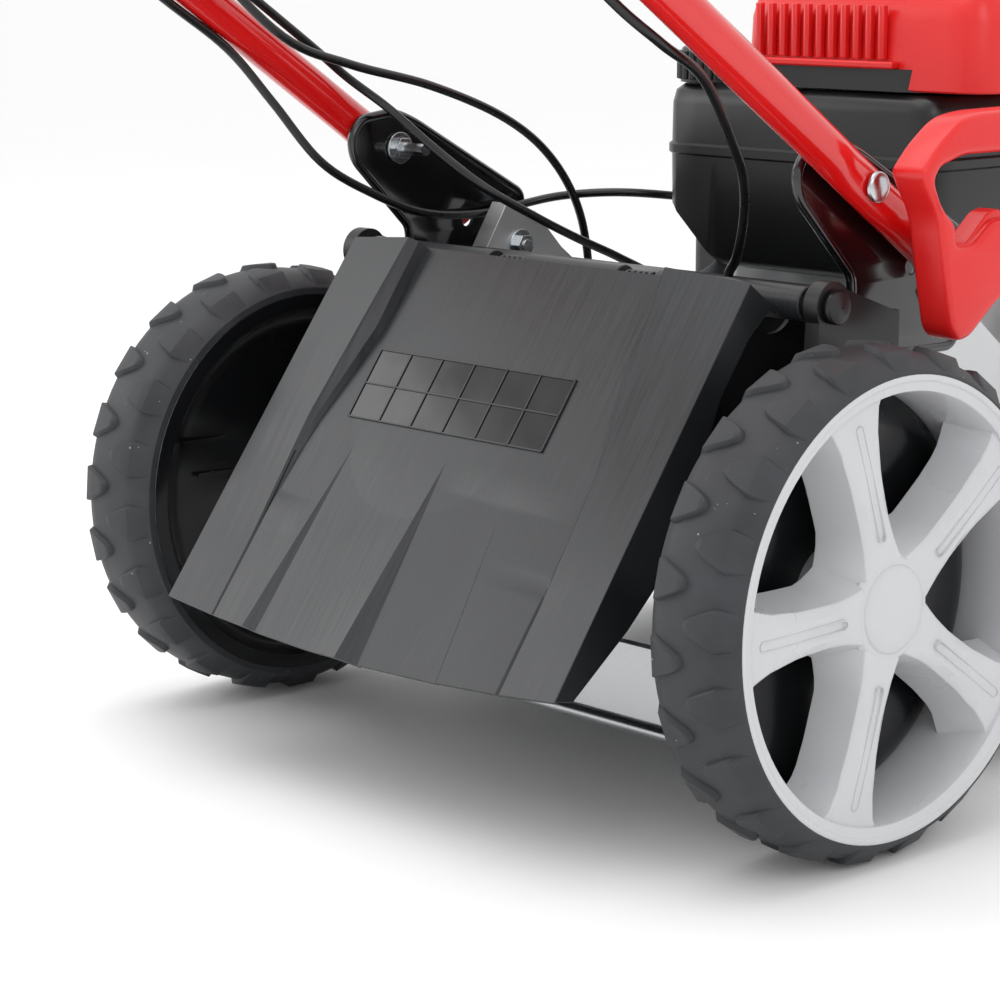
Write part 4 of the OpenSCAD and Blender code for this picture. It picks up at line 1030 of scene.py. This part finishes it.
mount(cap, "tank_cap", "moulded_black", "fuel_cap")
# Grey rubber fuel hose: matt, with a faint cloth mark from its curing wrap
hose_rubber = grained("hose_rubber_grey", "#46484b", "#3d3f42", 0.55, 1.5, 20, 0.05)
hose_line = [from_axle(*p) for p in ((-46, 214, 284), (-48, 206, 276), (-56, 200, 270), (-68, 200, 268),
                                     (-80, 206, 266), (-88, 222, 262), (-90, 244, 258))]


def smooth_route(stops, each=6):
    """A smooth line through the stops, with points added between them."""
    line, count = [], len(stops)
    for k in range(count - 1):
        a, b = stops[k], stops[k + 1]
        before = stops[k - 1] if k else a * 2 - b
        after = stops[k + 2] if k + 2 < count else b * 2 - a
        for step in range(each):
            t = step / each
            line.append(0.5 * (2 * a + (b - before) * t + (2 * before - 5 * a + 4 * b - after) * t * t
                               + (3 * a - before - 3 * b + after) * t ** 3))
    return line + [stops[-1]]


hose = new_piece("fuel_hose_bend", *tube_mesh(smooth_route(hose_line), 0.0055, 20), hose_rubber, 60)
mount(hose, "root", "hose_rubber", "fuel_hose")

# ---------- engine cover ----------
# The cover over fan and starter is a red moulding: a domed top over a skirt, with a louvred panel
# in its rear wall where the fan draws air.
cover_plan = filleted([(-26, 196), (168, 196), (168, 450), (-26, 450)], 28, steps=10)
cover_levels = [(398, 1), (399, 0), (440, 1.5), (452, 5), (460, 11), (465, 19), (cover_top, 26)]
cover = new_piece("engine_cover_dome", *lofted(cover_plan, cover_levels), red_plastic, 30)
mount(cover, "root", "red_plastic", "engine_cover")
louvre_tree, given, result = geometry_tree("cover_louvres", {"Louvres": "Int", "Pitch": "Float",
                                           "Finish": "Material"})
step = add_node(louvre_tree, "ShaderNodeCombineXYZ", {"X": given["Pitch"]}).outputs[0]
row = add_node(louvre_tree, "GeometryNodeMeshLine", {"Count": given["Louvres"], "Offset": step})
placed = add_node(louvre_tree, "GeometryNodeInstanceOnPoints", {"Points": row.outputs["Mesh"],
                  "Instance": given["Geometry"]})
finish_tree(louvre_tree, given, result, placed.outputs["Instances"])
louvre_profile = [(0, 195.6), (5.6, 195.6), (5.2, 192.2), (3.4, 190.8), (1.2, 191.6), (0.2, 194)]
louvre = slab([from_axle(-6 + x, y, 416.5) for x, y in louvre_profile], (0, 0, 0.032))
louvres = soften(new_piece("engine_cover_louvres", *louvre, red_plastic), 0.5)
grown(louvres, louvre_tree, {"Louvres": 11, "Pitch": 0.0098, "Finish": red_plastic})
mount(louvres, "root", "red_plastic")
# A ring of slots and a low starter ring stand about the crankshaft's axis, which is left of the
# cover's middle, so the leftmost slots reach past the cover's edge
# Each slot is a thin black sheet laid on the cover's closed top: its black is painted shade standing in for
# the dark inside an opening.
slot = slab([(0, r, s) for r, s in ((0.026, -0.0011), (0.066, -0.0022), (0.066, 0.0022), (0.026, 0.0011))],
            (0.0006, 0, 0))
slots = new_piece("engine_cover_slots", *slot, tank_black)
grown(slots, bead_tree, {"Spokes": 28, "First": 0.0, "Finish": tank_black})
ring_profile = [(19, -1), (22, -1), (22, 0.5), (21, 1), (19, 1)]
hub = new_piece("engine_cover_starter_ring", *lathe(ring_profile, 64), red_plastic)
for piece in (slots, hub):
    piece.data.transform(Matrix.Translation(from_axle(0, crank_y, cover_top))
                         @ Matrix.Rotation(-math.pi / 2, 4, "Y"))
mount(slots, "root", "tank_plastic")
mount(hub, "root", "red_plastic")
strip_plan = filleted([(-26.5, 195.4), (132, 195.4), (132, 250), (-26.5, 250)], 28, steps=10)
strip = new_piece("engine_cover_shadow_strip", *lofted(strip_plan, [(397.6, 0), (411, 0)]), tank_black, 30)
mount(strip, "root", "tank_plastic")
ledge_plan = ((-12, 197), (-12, 189.5), (106, 189.5), (106, 197))
ledge = slab([from_axle(x, y, 411) for x, y in ledge_plan], (0, 0, 0.0045))
mount(soften(new_piece("engine_cover_ledge", *ledge, red_plastic), 1.2), "root", "red_plastic")
# Yellow polypropylene marks the oil filler, as it does on most engines of this kind
yellow_plastic = grained("polypropylene_yellow", "#e0b21c", "#d4a616", 0.32, 1.2, 20, 0.02)
finished_copy("oil_cap", yellow_plastic, "yellow_plastic", 0.6)
finished_copy("starter_grip", moulded_black, "moulded_black", 1.5)

# ---------- starter rope ----------
# The braided nylon rope leaves the cover and ends in the pull grip.
rope_nylon, tree, shader, place = finish_material("nylon_rope_braided", "#d9d8d2", 0.6)
strands = add_node(tree, "ShaderNodeTexWave", {"Vector": place, "Scale": 1000 / 2.4 / math.tau,
                   "Distortion": 1.5}, bands_direction="DIAGONAL")
shades = ramp(tree, strands.outputs["Fac"], [(0.0, "#b9b8b2"), (1.0, "#e6e5df")])
relief = add_node(tree, "ShaderNodeBump", {"Height": strands.outputs["Fac"], "Distance": 0.0003})
tree.links.new(shades, shader.inputs["Base Color"])
tree.links.new(relief.outputs["Normal"], shader.inputs["Normal"])
rope_foot, rope_head = from_axle(60, 250, 441), from_axle(60, 250, 477.5)
rope_line = [rope_foot.lerp(rope_head, k / 24) for k in range(25)]
rope = new_piece("starter_rope_braid", *tube_mesh(rope_line, 0.0022, 16), rope_nylon, 60)
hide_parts("starter_rope")
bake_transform(rope)

# ---------- blade and drive ----------
# A stamped steel blade bolts to the crankshaft; a rubber belt drives the gearbox on the rear axle.
blade_paint = grained("blade_steel_painted", "#3a3b3d", "#2f3032", 0.4, 1.5, 30, 0.03)
finished_copy("blade", blade_paint, "blade_steel", 0.5)
finished_copy("blade_bolt", zinc_plate, "zinc_steel", 0.4)
# Belt rubber: matt black with the weave of its cover cloth
belt_rubber = grained("belt_rubber_cloth_covered", "#242426", "#1b1b1d", 0.7, 0.9, 20, 0.1)
finished_copy("drive_belt", belt_rubber, "belt_rubber", 0.4)

# ---------- lower handle tubes ----------
# Two straight steel tubes, 24 mm across, powder-coated red, bolt through the brackets; each is
# pressed flat a little round its carriage bolt.

# Red powder coat: bright and glossy under a clear skin, with a trace of orange peel
red_coat = grained("powder_coat_red_gloss", "#dd1414", "#d01011", 0.18, 4.0, 40, 0.02, spread=0.03,
                   coat=0.7)
handle_lean = math.radians(56)
# The tubes' length, and how far up from their lower ends the bolts are, in millimetres
tube_length, bolt_along = 589, 84


def on_handle(x, along, proud=0.0):
    """A point in millimetres from the tube bolts: across, along the handle, and proud above it."""
    return from_axle(x, tube_bolt[0] + proud * math.cos(handle_lean) - along * math.sin(handle_lean),
                     tube_bolt[1] + proud * math.sin(handle_lean) + along * math.cos(handle_lean))


def pressed_flat(share):
    """Width and depth of a lower tube's section, pressed flat near its bolt."""
    near = math.exp(-((share * tube_length - bolt_along) / 26) ** 4)
    return 0.012 - 0.0028 * near, 0.012 + 0.0008 * near


for side, hand in ((-1, "left"), (1, "right")):
    route = [on_handle(side * 200, -bolt_along + tube_length * k / 90) for k in range(91)]
    shape = tube_mesh(route, 0.012, 40, flat=pressed_flat)
    tube = new_piece(f"lower_tube_{hand}_coated", *shape, red_coat, 40)
    mount(soften(tube, 0.8), "root", "red_paint", "lower_tube_" + hand)

# ---------- upper handle ----------
# The upper handle is one bent tube that folds on the lower pair; a foam sleeve covers its cross bar,
# and the controls hang on its legs.
finished_copy("upper_handle", red_coat, "red_paint", 0)
# Foam sleeve: black, matt and finely pitted
grip_foam = grained("grip_foam_black", "#252628", "#1b1c1e", 0.85, 1.6, 25, 0.35)
finished_copy("handle_grip", grip_foam, "grip_foam", 1.5, 3)
for hand in ("left", "right"):
    finished_copy("clamp_lever_" + hand, moulded_black, "moulded_black", 0.8)
finished_copy("stop_bail", red_coat, "red_paint", 0)
finished_copy("drive_bail", black_coat, "black_paint", 0)
finished_copy("throttle", moulded_black, "moulded_black", 0.8)

# ---------- control cables ----------
# Four steel-cored cables in black sheaths hang from the handle's controls for stop, drive, brake and
# throttle. The drive cable enters the deck and the throttle cable the chute's top; the stop and brake
# cables end free beside the engine.
stop_route = [(-206, -768, 902), (-206, -700, 856), (-205, -560, 761), (-203, -450, 683), (-200, -350, 608),
              (-200, -300, 574), (-200, -190, 500), (-200, -120, 453), (-198, -74, 422), (-190, -46, 389),
              (-180, -16, 351), (-177.5, 24, 329), (-177.5, 67, 314), (-177.5, 111, 310), (-176, 145, 313),
              (-162, 176, 319), (-130, 200, 322), (-106, 240, 318), (-108, 280, 312)]
drive_route = [(-198, -755, 922), (-196, -700, 887), (-196, -560, 798), (-196, -420, 703), (-194, -300, 622),
               (-184, -190, 548), (-166, -120, 480), (-152, -67, 430), (-150, -16, 412), (-150, 49, 397),
               (-150, 109, 376), (-150, 150, 351), (-150, 178, 317), (-150, 190, 278), (-150, 192, 230),
               (-150, 192, 176)]
brake_route = [(-205, -763, 909), (-205, -700, 867), (-205, -560, 772), (-202, -450, 705), (-190, -350, 646),
               (-187, -300, 613), (-185, -190, 538), (-184, -90, 470), (-184, -20, 423), (-184, 10, 402),
               (-172, 34, 382), (-146, 50, 357), (-118, 66, 334), (-104, 96, 315), (-100, 130, 299),
               (-100, 170, 283), (-102, 206, 266), (-104, 226, 240)]
throttle_route = [(206, -678, 875), (201, -620, 836), (196, -560, 796), (188, -420, 706), (182, -300, 622),
                  (179, -240, 563), (182, -180, 500), (187, -130, 458), (190, -97, 436), (176, -50, 416),
                  (157.5, -5, 377), (147.7, 14, 356.5), (132.8, 31, 334.5), (111.7, 49, 310.4), (99, 57, 300),
                  (90, 66, 293)]
# Cable sheath: black polypropylene over wire, satin with small scuffs
cable_black = grained("cable_sheath_black", "#121315", "#0c0d0e", 0.3, 1.0, 14, 0.03)
cable_routes = (("stop", stop_route), ("drive", drive_route), ("brake", brake_route),
                ("throttle", throttle_route))
for name, route in cable_routes:
    line = smooth_route([from_axle(*p) for p in route], 8)
    cable = new_piece(f"{name}_cable", *tube_mesh(line, 0.0028, 14), cable_black, 60)
    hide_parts("cables")
    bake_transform(cable)

# Each cable's upper end is pressed into a plastic ferrule that a short stay holds on the handle's leg
leg_x, ferrule_radius, stay_radius = 223.5, 0.0044, 0.0034
leg_way = (on_handle(0, 1) - on_handle(0, 0)).normalized()
for name, route in cable_routes:
    end, below = from_axle(*route[0]), from_axle(*route[1])
    leg = on_handle(math.copysign(leg_x, end.x), (end - on_handle(0, 0)).dot(leg_way) * 1000)
    down = (below - end).normalized()
    ferrule = bar_between(end - down * 0.002, end + down * 0.024, ferrule_radius, 20)
    stay = bar_between(end + down * 0.006, leg + (end - leg).normalized() * 0.0098, stay_radius, 16)
    mount(new_piece(f"cable_{name}_ferrule", *merged([ferrule, stay]), moulded_black, 40), "handle_top",
          "moulded_black")

# ---------- floor, light and camera ----------
# A plain pale floor under a white surround, with one large soft light over the object and two at its
# sides.
floor_white = grained("floor_white_vinyl", "#fdfdfd", "#fafafa", 0.6, 4, 300, 0.0)
floor_corners = [(-30, -30, 0), (30, -30, 0), (30, 30, 0), (-30, 30, 0)]
floor = new_piece("floor", floor_corners, [(0, 1, 2, 3)], floor_white)

world = bpy.data.worlds.new("studio_white")
bpy.context.scene.world = world
world.use_nodes = True
world.node_tree.nodes["Background"].inputs["Color"].default_value = colour("#ffffff")
world.node_tree.nodes["Background"].inputs["Strength"].default_value = 1.0
bpy.context.scene.view_settings.view_transform = "Standard"

middle = (Vector(cad_box[0]) + Vector(cad_box[1])) / 2
for name, place, size, power in (("over", (-0.4, -0.3, 2.6), 2.2, 22), ("left", (-2.4, -1.2, 1.3), 1.4, 13),
                                 ("right", (2.2, -0.6, 1.7), 1.2, 7)):
    light = bpy.data.lights.new("softbox_" + name, "AREA")
    light.size, light.energy = size, power
    lamp = bpy.data.objects.new("softbox_" + name, light)
    lamp.location = place
    lamp.rotation_euler = (middle - Vector(place)).to_track_quat("-Z", "Y").to_euler()
    bpy.context.scene.collection.objects.link(lamp)

camera_data = bpy.data.cameras.new("camera")
camera_data.lens = 101.9
camera_data.sensor_width = 36
camera = bpy.data.objects.new("camera", camera_data)
camera.location = (1.1927, -1.0271, 0.4901)
camera.rotation_euler = Vector((-0.7160, 0.6700, -0.1959)).to_track_quat("-Z", "Y").to_euler()
bpy.context.scene.collection.objects.link(camera)
bpy.context.scene.camera = camera
